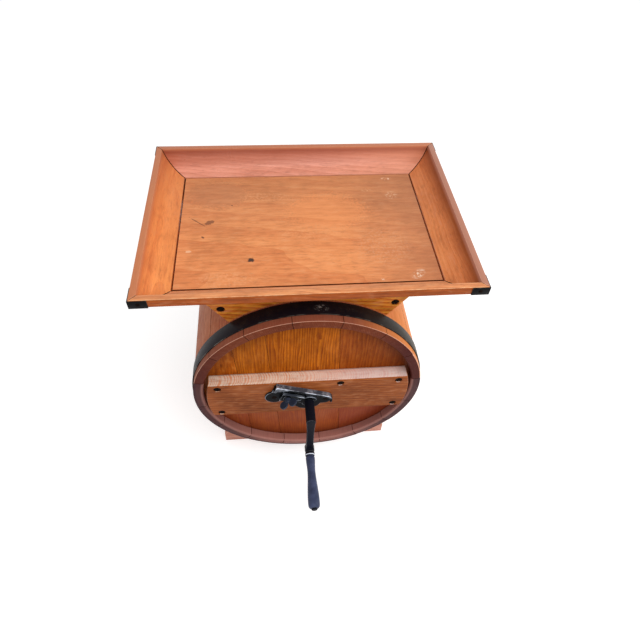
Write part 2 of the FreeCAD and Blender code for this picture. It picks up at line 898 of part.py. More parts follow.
def make_lock_plate():
    """A cast plate with two ears, a bearing round the shaft and raised rims that guide the clamp."""
    thick = dim.lock_plate_thickness
    deep = dim.lock_rim_depth
    rim = dim.lock_rim_width
    left = dim.lock_left_ear
    right = dim.lock_right_ear
    top = dim.lock_rim_rise
    ear = dim.lock_ear_radius
    tail = dim.lock_tail
    left_ear = rod("LockLeftEar", ear, thick, (left, 0, dim.lock_left_ear_drop), "-Y")
    right_ear = rod("LockRightEar", ear, thick, (right, 0, dim.lock_right_ear_rise), "-Y")
    right_up = dim.lock_right_ear_rise
    right_rim = cut(
        "LockRightRim",
        rod("LockRightRimOuter", ear, deep, (right, 0, right_up), "-Y"),
        rod("LockRightRimInner", ear - dim.lock_recess_rim, LONG, (right, LONG / 2, right_up), "-Y"),
        box("LockRightRimTrim", (LONG, LONG, LONG), (right - LONG, -LONG / 2, -LONG / 2)),
        box("LockRightRimFoot", (LONG, LONG, LONG), (right, -LONG / 2, right_up - LONG)),
    )
    bearing = rod("LockBearing", dim.lock_bearing_radius, thick, (0, 0, dim.lock_bearing_drop), "-Y")
    boss = rod("LockBoss", dim.lock_boss_radius, thick + dim.lock_boss_rise, (0, 0, 0), "-Y")
    low = dim.lock_left_ear_drop
    web = box("LockWeb", (right - tail, thick, top - low), (tail, -thick, low))
    rim_top = box("LockRimTop", (right - tail, deep, rim), (tail, -deep, top - rim))
    clear_of_clamp = dim.clamp_height / 2 + dim.loose_fit
    rim_end = box("LockRimEnd", (rim, deep, top - clear_of_clamp), (tail, -deep, clear_of_clamp))
    jaw_back = -(dim.clamp_jaw_radius + dim.clamp_travel + dim.loose_fit)
    guide_size = (jaw_back - dim.clamp_tail, deep, dim.lock_guide_width)
    guide = box("LockGuide", guide_size, (dim.clamp_tail, -deep, -clear_of_clamp - dim.lock_guide_width))
    plate = (left_ear, right_ear, right_rim, bearing, boss, web)
    blank = fuse("LockPlateBlank", *plate, rim_top, rim_end, guide)
    shaft_bore = rod("LockShaftBore", dim.shaft_radius + dim.running_fit, LONG, (0, LONG / 2, 0), "-Y")
    thumb_bore_radius = dim.thumb_screw_radius + dim.running_fit
    screw_bore = rod("LockThumbBore", thumb_bore_radius, LONG, (dim.thumb_screw_place, LONG / 2, 0), "-Y")
    seats = [
        iron_screw(f"LockSeat{index}", across, up, dim.wood_fit)
        for index, (across, up) in enumerate(lock_screw_places())
    ]
    keep("lock_plate", on_bar(cut("LockPlate", blank, shaft_bore, screw_bore, *seats)))


def make_clamp():
    """A flat bar that slides along the plate, with a fork for the shaft's neck and a slot for the screw."""
    thick = dim.clamp_thickness
    tall = dim.clamp_height
    strip = box("ClampStrip", (-dim.clamp_tail, thick, tall), (dim.clamp_tail, -lock_top, -tall / 2))
    jaw = common(
        "ClampJaw",
        rod("ClampJawRound", dim.clamp_jaw_radius, thick, (0, -clamp_back, 0), "-Y"),
        box("ClampJawTrim", (LONG, LONG, LONG), (dim.clamp_jaw_reach - LONG, -LONG / 2, -LONG / 2)),
    )
    throat = dim.neck_radius + dim.wood_fit
    throat_round = rod("ClampThroat", throat, LONG, (0, LONG / 2, 0), "-Y")
    throat_slot = box("ClampMouth", (LONG, LONG, 2 * throat), (0, -LONG / 2, -throat))
    slot_radius = dim.thumb_screw_radius + dim.loose_fit
    near = dim.thumb_screw_place
    far = near + dim.clamp_travel
    slot = fuse(
        "ClampSlot",
        rod("ClampSlotNear", slot_radius, LONG, (near, LONG / 2, 0), "-Y"),
        rod("ClampSlotFar", slot_radius, LONG, (far, LONG / 2, 0), "-Y"),
        box("ClampSlotMiddle", (dim.clamp_travel, LONG, 2 * slot_radius), (near, -LONG / 2, -slot_radius)),
    )
    blank = fuse("ClampBlank", strip, jaw)
    keep("clamp_bar", on_bar(cut("ClampBar", blank, throat_round, throat_slot, slot)))


def make_thumb_screw():
    """Returns the hole that its point needs in the cross bar."""
    place_x = dim.thumb_screw_place
    washer_back = lock_top + dim.loose_fit
    washer_face = washer_back + dim.washer_thickness
    washer = cut(
        "WasherRing",
        rod("WasherDisc", dim.washer_radius, dim.washer_thickness, (place_x, -washer_back, 0), "-Y"),
        rod("WasherHole", dim.thumb_screw_radius + dim.loose_fit, LONG, (place_x, LONG / 2, 0), "-Y"),
    )
    keep("clamp_washer", on_bar(washer))
    hub_back = washer_face + dim.loose_fit
    shank = rod(
        "ThumbShank",
        dim.thumb_screw_radius,
        dim.thumb_screw_depth + hub_back,
        (0, dim.thumb_screw_depth, 0),
        "-Y",
    )
    hub = cone(
        "ThumbHub",
        dim.thumb_hub_radius,
        dim.thumb_hub_tip_radius,
        dim.thumb_hub_length,
        (0, -hub_back, 0),
        "-Y",
    )
    wing_out = -hub_back - dim.thumb_hub_length - dim.wing_lift
    wings = [
        rod(
            f"ThumbWing{side + 1}",
            dim.wing_radius,
            dim.wing_thickness,
            (side * dim.wing_reach, wing_out, -dim.wing_thickness / 2),
            "Z",
        )
        for side in (-1, 1)
    ]
    screw = fuse("ThumbScrew", shank, hub, *wings)
    turn = dim.lock_tilt - dim.wing_turn
    keep("thumb_screw", place(screw, thumb_centre(), axis=FreeCAD.Vector(0, 1, 0), angle=turn))
    return rod(
        "ThumbHole",
        dim.thumb_screw_radius + dim.loose_fit,
        dim.thumb_screw_depth + 2 * dim.loose_fit,
        thumb_centre(),
    )


# Bearings, seals and the dasher inside
def make_rear_pivot():
    """A flanged iron pin that carries the dasher's far end. Returns its hole, screw bores and screws."""
    face = dim.barrel_length - bar_face
    tip = dim.barrel_length - head_back - dim.leather_thickness - dim.pivot_pin_bite
    flange = rod("PivotFlange", dim.pivot_flange_radius, dim.pivot_flange_thickness, at(0, face, 0))
    pin = rod("PivotPin", dim.pivot_pin_radius, face - tip + dim.pivot_flange_thickness, at(0, tip, 0))
    outside = face + dim.pivot_flange_thickness
    screws = []
    bores = []
    for index in range(int(dim.pivot_screw_count.value)):
        angle = 360 / dim.pivot_screw_count * index
        across = dim.pivot_screw_circle * sine(angle)
        up = dim.pivot_screw_circle * cosine(angle)
        start = at(across, outside, up)
        for group, fit in ((screws, ZERO), (bores, dim.wood_fit)):
            name = f"PivotScrew{index}{'Bore' if fit is not ZERO else ''}"
            head = cone(
                f"{name}Head",
                dim.iron_screw_head_radius + fit,
                dim.iron_screw_radius + fit,
                dim.iron_screw_head_depth,
                start,
                "-Y",
            )
            shank = rod(
                f"{name}Shank", dim.iron_screw_radius + fit, dim.iron_screw_length + fit, start, "-Y"
            )
            group.append(fuse(name, head, shank))
    keep("rear_pivot", cut("RearPivot", fuse("PivotBlank", flange, pin), *bores))
    pin_hole = rod("PivotPinHole", dim.pivot_pin_radius + dim.wood_fit, LONG, at(0, 0, 0))
    return pin_hole, bores, screws


def make_shaft_bush():
    """An iron sleeve through the front bar and head. Returns the hole it sits in."""
    length = head_back - bar_face
    sleeve = rod("BushOuter", dim.bush_radius, length, at(0, bar_face, 0))
    bore = rod("BushBore", dim.shaft_radius + dim.running_fit, LONG, at(0, -LONG / 2, 0))
    keep("shaft_bush", cut("ShaftBush", sleeve, bore))
    return rod("BushHole", dim.bush_radius + dim.wood_fit, LONG, at(0, -LONG / 2, 0))


def make_leather_washers():
    """A leather ring against the inside of each head, which the dasher's ends run on."""
    rings = []
    for end, is_front in ENDS:
        hole = dim.shaft_radius if is_front else dim.pivot_pin_radius
        start = from_end(is_front, head_back, dim.leather_thickness)
        disc = rod(f"{end}LeatherDisc", dim.leather_radius, dim.leather_thickness, at(0, start, 0))
        bore = rod(f"{end}LeatherBore", hole + dim.loose_fit, LONG, at(0, -LONG / 2, 0))
        rings.append(cut(f"{end}Leather", disc, bore))
    keep("leather_washers", fuse("LeatherWashers", *rings))


def dasher_ends():
    start = head_back + dim.leather_thickness + dim.loose_fit
    return start, dim.barrel_length - start


def make_dasher():
    """A faceted wooden shaft with radial blades. The crank's square tang goes in its front end."""
    start, end = dasher_ends()
    sides = int(dim.dasher_shaft_sides.value)
    half_side = 180 / dim.dasher_shaft_sides
    flat_up = TURN_TO["Y"] * FreeCAD.Rotation(FreeCAD.Vector(0, 0, 1), half_side.value)
    shaft = prism("DasherStock", sides, dim.dasher_shaft_radius, end - start, at(0, start, 0), flat_up)
    socket_half = dim.tang_size / 2 + dim.wood_fit
    socket = box(
        "DasherSocket",
        (2 * socket_half, dim.tang_length + dim.loose_fit + PROUD, 2 * socket_half),
        at(-socket_half, start - PROUD, -socket_half),
    )
    bore_depth = dim.pivot_pin_bite + dim.loose_fit
    bore_radius = dim.pivot_pin_radius + dim.running_fit
    bore = rod("DasherBore", bore_radius, bore_depth + PROUD, at(0, end - bore_depth, 0))
    keep("dasher_shaft", cut("DasherShaft", shaft, socket, bore))
    flat = dim.dasher_shaft_radius * cosine(half_side)
    first = start + dim.blade_end_gap
    last = end - dim.blade_end_gap
    tip = inner_radius - dim.blade_tip_gap
    hole_step = (last - first) / dim.blade_hole_count
    holes = [
        (dim.blade_hole_radius, (flat + tip) / 2, first + hole_step * (index + 0.5))
        for index in range(int(dim.blade_hole_count.value))
    ]
    corners = [(flat, first), (tip, first), (tip, last), (flat, last)]
    for index in range(int(dim.blade_count.value)):
        body = new_body(f"DasherBlade{index + 1}")
        pad(body, "XY_Plane", corners, dim.blade_thickness, midplane=True, holes=holes)
        angle = dim.blade_first_angle + 360 / dim.blade_count * index
        keep(f"dasher_blade_{index + 1}", radial(body, angle))


# Crank, hanging down at rest
def make_crank():
    """One forging: the shaft with its neck and square tang, the arm, and the eye for the spindle."""
    face = dim.arm_standoff + dim.arm_thickness
    neck_near = clamp_back - dim.loose_fit - bar_face
    neck_far = lock_top + dim.loose_fit - bar_face
    edge = dim.shaft_chamfer
    body = new_body("CrankForging", at(0, 0, 0))
    shaft = dim.shaft_radius
    neck = dim.neck_radius
    revolve(
        body,
        [
            (ZERO, -face),
            (shaft - edge, -face),
            (shaft, edge - face),
            (shaft, -neck_far),
            (neck, -neck_far),
            (neck, -neck_near),
            (shaft, -neck_near),
            (shaft, shaft_end),
            (ZERO, shaft_end),
        ],
    )
    wide = dim.arm_width / 2
    waist = dim.arm_waist / 2
    throw = dim.crank_throw
    eye = dim.eye_radius
    arm = [
        (wide, ZERO),
        (waist, -dim.arm_taper),
        (waist, eye * 2 - throw),
        (eye, -throw),
        (-eye, -throw),
        (-waist, eye * 2 - throw),
        (-waist, -dim.arm_taper),
        (-wide, ZERO),
    ]
    pad(body, "XZ_Plane", arm, dim.arm_thickness, offset=dim.arm_standoff)
    tang_half = dim.tang_size / 2
    square = [(tang_half * x, tang_half * z) for x, z in ((-1, -1), (1, -1), (1, 1), (-1, 1))]
    pad(body, "XZ_Plane", square, dim.tang_length, offset=-shaft_end, reverse=True)
    eye_disc = rod("CrankEye", eye, dim.eye_thickness, at(0, -eye_back, -throw), "-Y")
    eye_hole = rod("CrankEyeHole", dim.spindle_radius + dim.wood_fit, LONG, at(0, -LONG / 2, -throw))
    forging = fuse("CrankWithEye", body, eye_disc)
    keep("crank", cut("Crank", forging, eye_hole))


def make_grip():
    """A turned grip that spins on a riveted spindle."""
    body = new_body("CrankGrip", at(0, 0, -dim.crank_throw))
    bore = dim.spindle_radius + dim.running_fit
    collar = dim.grip_collar_radius
    neck = dim.grip_neck_radius
    swell = dim.grip_swell_radius
    collar_end = grip_start + dim.grip_collar_length
    neck_at = grip_start + dim.grip_neck_place
    swell_at = grip_start + dim.grip_swell_place
    rounding = dim.grip_end_round
    revolve(
        body,
        [
            (bore, -grip_start),
            (bore, -grip_reach),
            (swell - rounding, -grip_reach, rounding),
            (swell, rounding - grip_reach),
            (swell, -swell_at),
            (neck, -neck_at, -dim.grip_waist_curve),
            (collar, -collar_end),
            (collar, -grip_start),
        ],
    )
    keep("crank_grip", body)
    pin = rod(
        "SpindlePin",
        dim.spindle_radius,
        crank_reach - eye_back,
        at(0, -eye_back, -dim.crank_throw),
        "-Y",
    )
    head = cone(
        "SpindleHead",
        dim.spindle_head_radius,
        dim.spindle_radius,
        dim.spindle_head_length,
        at(0, dim.spindle_head_length - crank_reach, -dim.crank_throw),
        "-Y",
    )
    keep("grip_spindle", fuse("GripSpindle", pin, head))


def check_document():
    """Stops if any object failed or any sub-part's shape is missing or not valid."""
    for thing in document.Objects:
        if any(word in thing.State for word in ("Invalid", "Error")):
            raise RuntimeError(f"{thing.Name} failed: {thing.State}")
    for node, thing in finished.items():
        shape = thing.Shape
        if shape.isNull() or not shape.isValid() or not shape.Solids:
            raise RuntimeError(f"{node} has no valid solid")


def write_parts():
    os.makedirs(OUTPUT_FOLDER, exist_ok=True)
    for node, thing in finished.items():
        thing.Shape.exportStep(os.path.join(OUTPUT_FOLDER, f"{node}.step"))


make_staves()
bush_hole = make_shaft_bush()
pivot_hole, pivot_bores, pivot_screws = make_rear_pivot()
make_leather_washers()
make_head("front", True, bush_hole)
make_head("rear", False, pivot_hole)
thumb_hole = make_thumb_screw()
lock_screws = [
    on_bar(iron_screw(f"LockScrew{index}", across, up))
    for index, (across, up) in enumerate(lock_screw_places())
]
lock_bores = [
    on_bar(iron_screw(f"LockBore{index}", across, up, dim.wood_fit))
    for index, (across, up) in enumerate(lock_screw_places())
]
keep("lock_screws", fuse("LockScrews", *lock_screws, *pivot_screws))
make_crossbar("front", True, bush_hole, thumb_hole, *lock_bores)
make_crossbar("rear", False, pivot_hole, *pivot_bores)
for end, is_front in ENDS:
    make_hoop(end, is_front)
    make_foot(end, is_front)
    make_saddle(end, is_front)
    make_ledge(end, is_front)
for side, sign in SIDES:
    make_hopper_board(side, sign)
make_tray()
make_lid()
make_lock_plate()
make_clamp()
make_dasher()
make_crank()
make_grip()
document.recompute()
check_document()
write_parts()
solids = sum(len(thing.Shape.Solids) for thing in finished.values())
print(f"{len(finished)} sub-parts, {solids} solids")
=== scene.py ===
"""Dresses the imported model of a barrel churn: eased boards, turned grip, cast lock, screws and a pale studio.

Lengths in the classes are millimetres in the model's own frame, and become metres where a mesh is made.
"""

import logging
import math
from collections.abc import Callable, Iterator, Sequence
from contextlib import contextmanager
from dataclasses import dataclass, field, replace
from enum import Enum
from itertools import pairwise

import bmesh
import bpy
from mathutils import Matrix, Vector


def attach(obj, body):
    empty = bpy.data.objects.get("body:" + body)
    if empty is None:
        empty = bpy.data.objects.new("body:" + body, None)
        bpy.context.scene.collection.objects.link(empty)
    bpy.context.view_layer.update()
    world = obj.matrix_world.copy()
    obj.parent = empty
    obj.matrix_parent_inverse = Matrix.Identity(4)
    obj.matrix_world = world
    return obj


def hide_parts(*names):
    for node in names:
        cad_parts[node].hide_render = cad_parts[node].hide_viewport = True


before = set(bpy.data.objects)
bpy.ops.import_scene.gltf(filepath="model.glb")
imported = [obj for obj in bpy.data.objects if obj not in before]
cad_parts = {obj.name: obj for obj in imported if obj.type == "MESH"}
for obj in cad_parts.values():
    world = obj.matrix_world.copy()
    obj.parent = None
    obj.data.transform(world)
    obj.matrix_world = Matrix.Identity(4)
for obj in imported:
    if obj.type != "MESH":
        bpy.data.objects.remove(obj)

MM = 0.001
# The barrel's axis: its height, the heads' outer faces along it and how far out the wall round them lies
AXIS_Z = 245.0
HEAD_FACES = (-60, 212)
WALL_REACH = 190
# The tray's middle along Y, and how far from it the outer faces of its front and rear boards begin
TRAY_MIDDLE = 76
TRAY_REACH = 174
# The short staves round the hopper's mouth: where the first begins, and how wide each is, in degrees
MOUTH_START = -30.75
STAVE_ARC = 22.5
# The tilt of the lock plate, and the corner beyond which the lip at its left end lies
LOCK_TILT = math.radians(22)
LIP_X = -36
LIP_Z = 272
# The length of one wave of a wave texture whose scale is 1
WAVE_LENGTH = 0.314
# The slots of a board's materials: flat wood, rubbed arrises (a dark painted shade on the lower staves), dirt
# in its joints, and a second wood
WOOD, RUBBED_AND_SHADED, JOINT, OTHER = range(4)
log = logging.getLogger("churn")

Point = tuple[float, float, float]
Inputs = dict[str | int, object]
Socket = bpy.types.NodeSocket
Material = bpy.types.Material
Piece = bpy.types.Object
Face = bmesh.types.BMFace
Edge = bmesh.types.BMEdge
FaceTest = Callable[[Face], bool]


def hex_colour(code: str) -> tuple[float, float, float, float]:
    """Turns six sRGB hex digits into linear light, with an alpha of 1."""
    parts = [int(code[i : i + 2], 16) / 255 for i in (0, 2, 4)]
    linear = [p / 12.92 if p <= 0.04045 else ((p + 0.055) / 1.055) ** 2.4 for p in parts]
    return (linear[0], linear[1], linear[2], 1.0)


def millimetres(corner: Sequence[float]) -> Vector:
    """A point given in millimetres, in metres."""
    return Vector(corner) * MM


def shown(name: str, data: bpy.types.ID) -> Piece:
    """A new object in the scene with this mesh, lamp or camera."""
    piece = bpy.data.objects.new(name, data)
    bpy.context.scene.collection.objects.link(piece)
    return piece


def deselect_all() -> None:
    """Leaves no object selected."""
    bpy.ops.object.select_all(action="DESELECT")


def pick_only(*pieces: Piece) -> None:
    """Selects these pieces alone, the first of them active."""
    deselect_all()
    for piece in pieces:
        piece.select_set(True)
    bpy.context.view_layer.objects.active = pieces[0]


@contextmanager
def editing(piece: Piece, mode: str = "FACE") -> Iterator[None]:
    """Opens a piece in edit mode with nothing on it selected, and closes it again.

    Args:
        piece: The piece to shape.
        mode: VERT, EDGE or FACE.
    """
    pick_only(piece)
    bpy.ops.object.mode_set(mode="EDIT")
    bpy.ops.mesh.select_mode(type=mode)
    bpy.ops.mesh.select_all(action="DESELECT")
    try:
        yield
    finally:
        bpy.ops.object.mode_set(mode="OBJECT")


def pick(piece: Piece, test: Callable[..., bool], edges: bool = False) -> int:
    """Selects the faces, or the edges, that pass a test, in edit mode.

    Returns:
        How many were selected.
    """
    bpy.ops.mesh.select_all(action="DESELECT")
    mesh = bmesh.from_edit_mesh(piece.data)
    if edges:
        mesh.normal_update()
    hits = [part for part in (mesh.edges if edges else mesh.faces) if test(part)]
    for part in hits:
        part.select_set(True)
    bmesh.update_edit_mesh(piece.data)
    return len(hits)


def paint(piece: Piece, slot: int, test: FaceTest) -> None:
    """Puts the faces that pass a test in another of the piece's material slots."""
    with editing(piece):
        pick(piece, test)
        piece.active_material_index = slot
        bpy.ops.object.material_slot_assign()


def bevel(width: float, steps: int, slot: int) -> None:
    """Bevels the selected edges, and puts the new faces in a material slot."""
    bpy.ops.mesh.bevel(offset=width * MM, segments=steps, affect="EDGES", clamp_overlap=True, material=slot)


def settle(piece: Piece) -> None:
    """Puts a piece's place, turn and scale into its mesh."""
    pick_only(piece)
    bpy.ops.object.transform_apply(location=True, rotation=True, scale=True)


def apply_modifiers(piece: Piece) -> None:
    """Applies every modifier on a piece, in order."""
    pick_only(piece)
    for modifier in list(piece.modifiers):
        bpy.ops.object.modifier_apply(modifier=modifier.name)


def smooth_by_angle(piece: Piece, degrees: float = 32) -> None:
    """Shades a piece smooth, and leaves edges sharper than the angle hard."""
    pick_only(piece)
    bpy.ops.object.shade_smooth_by_angle(angle=math.radians(degrees))


def copy_of(node: str, name: str, group: Callable[[Vector], int] | None = None, count: int = 1) -> Piece:
    """A merged copy of a CAD node, its flat sides whole again.

    Args:
        node: The node's name.
        name: The new piece's name.
        group: Tells which of a node's touching solids a point is in, so that they stay apart.
        count: How many such solids there are.

    Returns:
        The piece, with no material yet.
    """
    piece = shown(name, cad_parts[node].data.copy())
    piece.data.materials.clear()
    if piece.data.has_custom_normals:
        pick_only(piece)
        bpy.ops.mesh.customdata_custom_splitnormals_clear()
    solids = group or (lambda inner: 0)
    with editing(piece):
        for solid in range(count):
            pick(piece, lambda face: solids(face.calc_center_median() - face.normal * MM) == solid)
            bpy.ops.mesh.remove_doubles(threshold=0.01 * MM)
        bpy.ops.mesh.select_all(action="SELECT")
        bpy.ops.mesh.dissolve_limited(angle_limit=math.radians(0.6))
    return piece


def copies(model: Piece, count: int) -> list[Piece]:
    """Duplicates a model piece, each copy with its own mesh.

    Returns:
        The copies, without the model.
    """
    made = []
    for _ in range(count):
        pick_only(model)
        bpy.ops.object.duplicate(linked=False)
        made.append(bpy.context.view_layer.objects.active)
    return made


def joined(name: str, parts: Sequence[Piece]) -> Piece:
    """Joins parts into one piece.

    Returns:
        The piece, which sits at the origin.
    """
    for part in parts:
        settle(part)
    pick_only(*parts)
    bpy.ops.object.join()
    piece = bpy.context.view_layer.objects.active
    piece.name = name
    piece.data.name = name
    return piece


def hand_over(piece: Piece, body: str, slot: str, *nodes: str) -> None:
    """Makes a piece ride on a body and stand for CAD nodes."""
    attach(piece, body)
    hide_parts(*nodes)
    log.info("%s rides on %s for %s", piece.name, body, ", ".join(nodes))


class Grain(Enum):
    """The way the grain runs along a board."""

    ACROSS = "X"
    ALONG = "Y"
    UP = "Z"

    def stretched(self, along: float, across: float) -> Point:
        """A scale for a pattern that is drawn out along the grain."""
        return tuple(along if axis == self.value else across for axis in "XYZ")


@dataclass(frozen=True)
class Mark:
    """A knot, stain, scuff or painted pool of light, seen from above.

    Attributes:
        across: Its middle along X, in millimetres.
        along: Its middle along Y.
        length: Half its length.
        width: Half its width.
        turn: How far its length is turned from X, in degrees.
        colour: Its colour, in sRGB hex.
        strength: How much of the finish it hides.
        broken: Whether it is a broken scuff, and not a solid spot.
    """

    across: float
    along: float
    length: float
    width: float
    turn: float
    colour: str
    strength: float
    broken: bool = False


@dataclass(frozen=True)
class Tone:
    """A slow change of colour along one axis.

    Attributes:
        axis: X, Y or Z, or R for the distance from the barrel's axis.
        start: Where it begins, in millimetres.
        end: Where it is at its full strength.
        colour: The colour it leads to, in sRGB hex.
        strength: How much of the finish it hides there.
    """

    axis: str
    start: float
    end: float
    colour: str
    strength: float


@dataclass(frozen=True)
class Nodes:
    """A tree of shader nodes.

    Attributes:
        tree: The tree itself.
    """

    tree: bpy.types.NodeTree

    @classmethod
    def of(cls, owner: Material | bpy.types.World) -> "Nodes":
        """Gives a material or a world an empty tree."""
        owner.use_nodes = True
        owner.node_tree.nodes.clear()
        return cls(owner.node_tree)

    def add(self, kind: str, inputs: Inputs | None = None, **settings: object) -> bpy.types.Node:
        """Adds a node with its settings and links.

        Args:
            kind: The node's type, without the words that all shader nodes begin with.
            inputs: Socket names or numbers, with a value or another node's socket for each.
            settings: The node's own properties.

        Returns:
            The node.
        """
        node = self.tree.nodes.new(f"ShaderNode{kind}")
        for setting, value in settings.items():
            setattr(node, setting, value)
        for socket, value in (inputs or {}).items():
            if isinstance(value, Socket):
                self.tree.links.new(value, node.inputs[socket])
            else:
                node.inputs[socket].default_value = value
        return node

    def out(
        self, kind: str, inputs: Inputs | None = None, output: str | int = 0, **settings: object
    ) -> Socket:
        """Adds a node as add does, and gives one of its outputs."""
        return self.add(kind, inputs, **settings).outputs[output]

    def between(self, value: Socket, low: float, high: float, start: float, end: float) -> Socket:
        """Maps a value from one range to another, and keeps it in that range."""
        return self.out("MapRange", {0: value, 1: low, 2: high, 3: start, 4: end})

    def blend(self, factor: Socket, under: object, over: object) -> Socket:
        """Mixes two colours."""
        return self.out("Mix", {0: factor, 6: under, 7: over}, 2, data_type="RGBA")

    def cloud(self, place: Socket, size: float, detail: float = 4.0) -> Socket:
        """Noise with patches of one size, in millimetres."""
        inputs = {"Vector": place, "Scale": 1 / (size * MM), "Detail": detail, "Roughness": 0.6}
        return self.out("TexNoise", inputs)

    def both(self, one: Socket, two: Socket | float, operation: str) -> Socket:
        """Joins two values by a sum, a product or the like, kept from 0 to 1."""
        return self.out("Math", {0: one, 1: two}, operation=operation, use_clamp=True)

    def vector(self, operation: str, one: Socket, two: object = (0, 0, 0)) -> Socket:
        """Joins two vectors, or measures the length of one."""
        output = "Value" if operation == "LENGTH" else "Vector"
        return self.out("VectorMath", {0: one, 1: two}, output, operation=operation)


@dataclass(frozen=True)
class Finish:
    """What every finish has: a name, a bumpy gloss, tones and marks.

    Attributes:
        name: Its name.
        tones: Slow changes of colour.
        marks: Single marks.
    """

    name: str
    tones: tuple[Tone, ...] = field(default=(), kw_only=True)
    marks: tuple[Mark, ...] = field(default=(), kw_only=True)

    @staticmethod
    def begin(name: str) -> tuple[Material, Nodes, Socket]:
        """Starts a material.

        Returns:
            The material, its nodes and the place in the object's own frame.
        """
        material = bpy.data.materials.new(name)
        nodes = Nodes.of(material)
        return material, nodes, nodes.out("TexCoord", output="Object")

    @staticmethod
    def close(nodes: Nodes, height: Socket, depth: float, inputs: Inputs) -> None:
        """Ends a material with its shader, and with bumps of a depth in millimetres."""
        bump = nodes.out("Bump", {"Height": height, "Strength": 0.35, "Distance": depth * MM})
        shader = nodes.out("BsdfPrincipled", {**inputs, "Normal": bump})
        nodes.add("OutputMaterial", {"Surface": shader})

    @staticmethod
    def from_axis(nodes: Nodes, here: Socket) -> Socket:
        """How far a place is from the barrel's axis."""
        across = nodes.vector("SUBTRACT", here, (0, 0, AXIS_Z * MM))
        return nodes.vector("LENGTH", nodes.vector("MULTIPLY", across, (1, 0, 1)))

    def aged_and_shaded(self, nodes: Nodes, here: Socket, colour: Socket) -> Socket:
        """Lays the tones and marks, some of which are painted light and shade, over a colour."""
        for tone in self.tones:
            if tone.axis == "R":
                way = self.from_axis(nodes, here)
            else:
                way = nodes.out("SeparateXYZ", {0: here}, tone.axis)
            mask = nodes.between(way, tone.start * MM, tone.end * MM, 0, tone.strength)
            colour = nodes.blend(mask, colour, hex_colour(tone.colour))
        for mark in self.marks:
            colour = nodes.blend(self.mask(nodes, here, mark), colour, hex_colour(mark.colour))
        return colour

    @staticmethod
    def mask(nodes: Nodes, here: Socket, mark: Mark) -> Socket:
        """Where one mark lies: a turned oval with a ragged rim."""
        turn = math.radians(-mark.turn)
        spun = Matrix.Rotation(turn, 3, "Z") @ millimetres((mark.across, mark.along, 0))
        placing = {"Vector": here, "Rotation": (0, 0, turn), "Location": (-spun.x, -spun.y, 0)}
        local = nodes.out("Mapping", placing)
        unit = nodes.vector("MULTIPLY", local, (1 / (mark.length * MM), 1 / (mark.width * MM), 0))
        noise = nodes.cloud(here, 4)
        rim = nodes.between(noise, 0.2, 0.8, -0.45, 0.45)
        ragged = nodes.out("Math", {0: nodes.vector("LENGTH", unit), 1: rim})
        mask = nodes.between(ragged, 1.0, 0.7, 0, mark.strength)
        if mark.broken:
            mask = nodes.both(mask, nodes.between(noise, 0.5, 0.6, 0, 1), "MULTIPLY")
        return mask


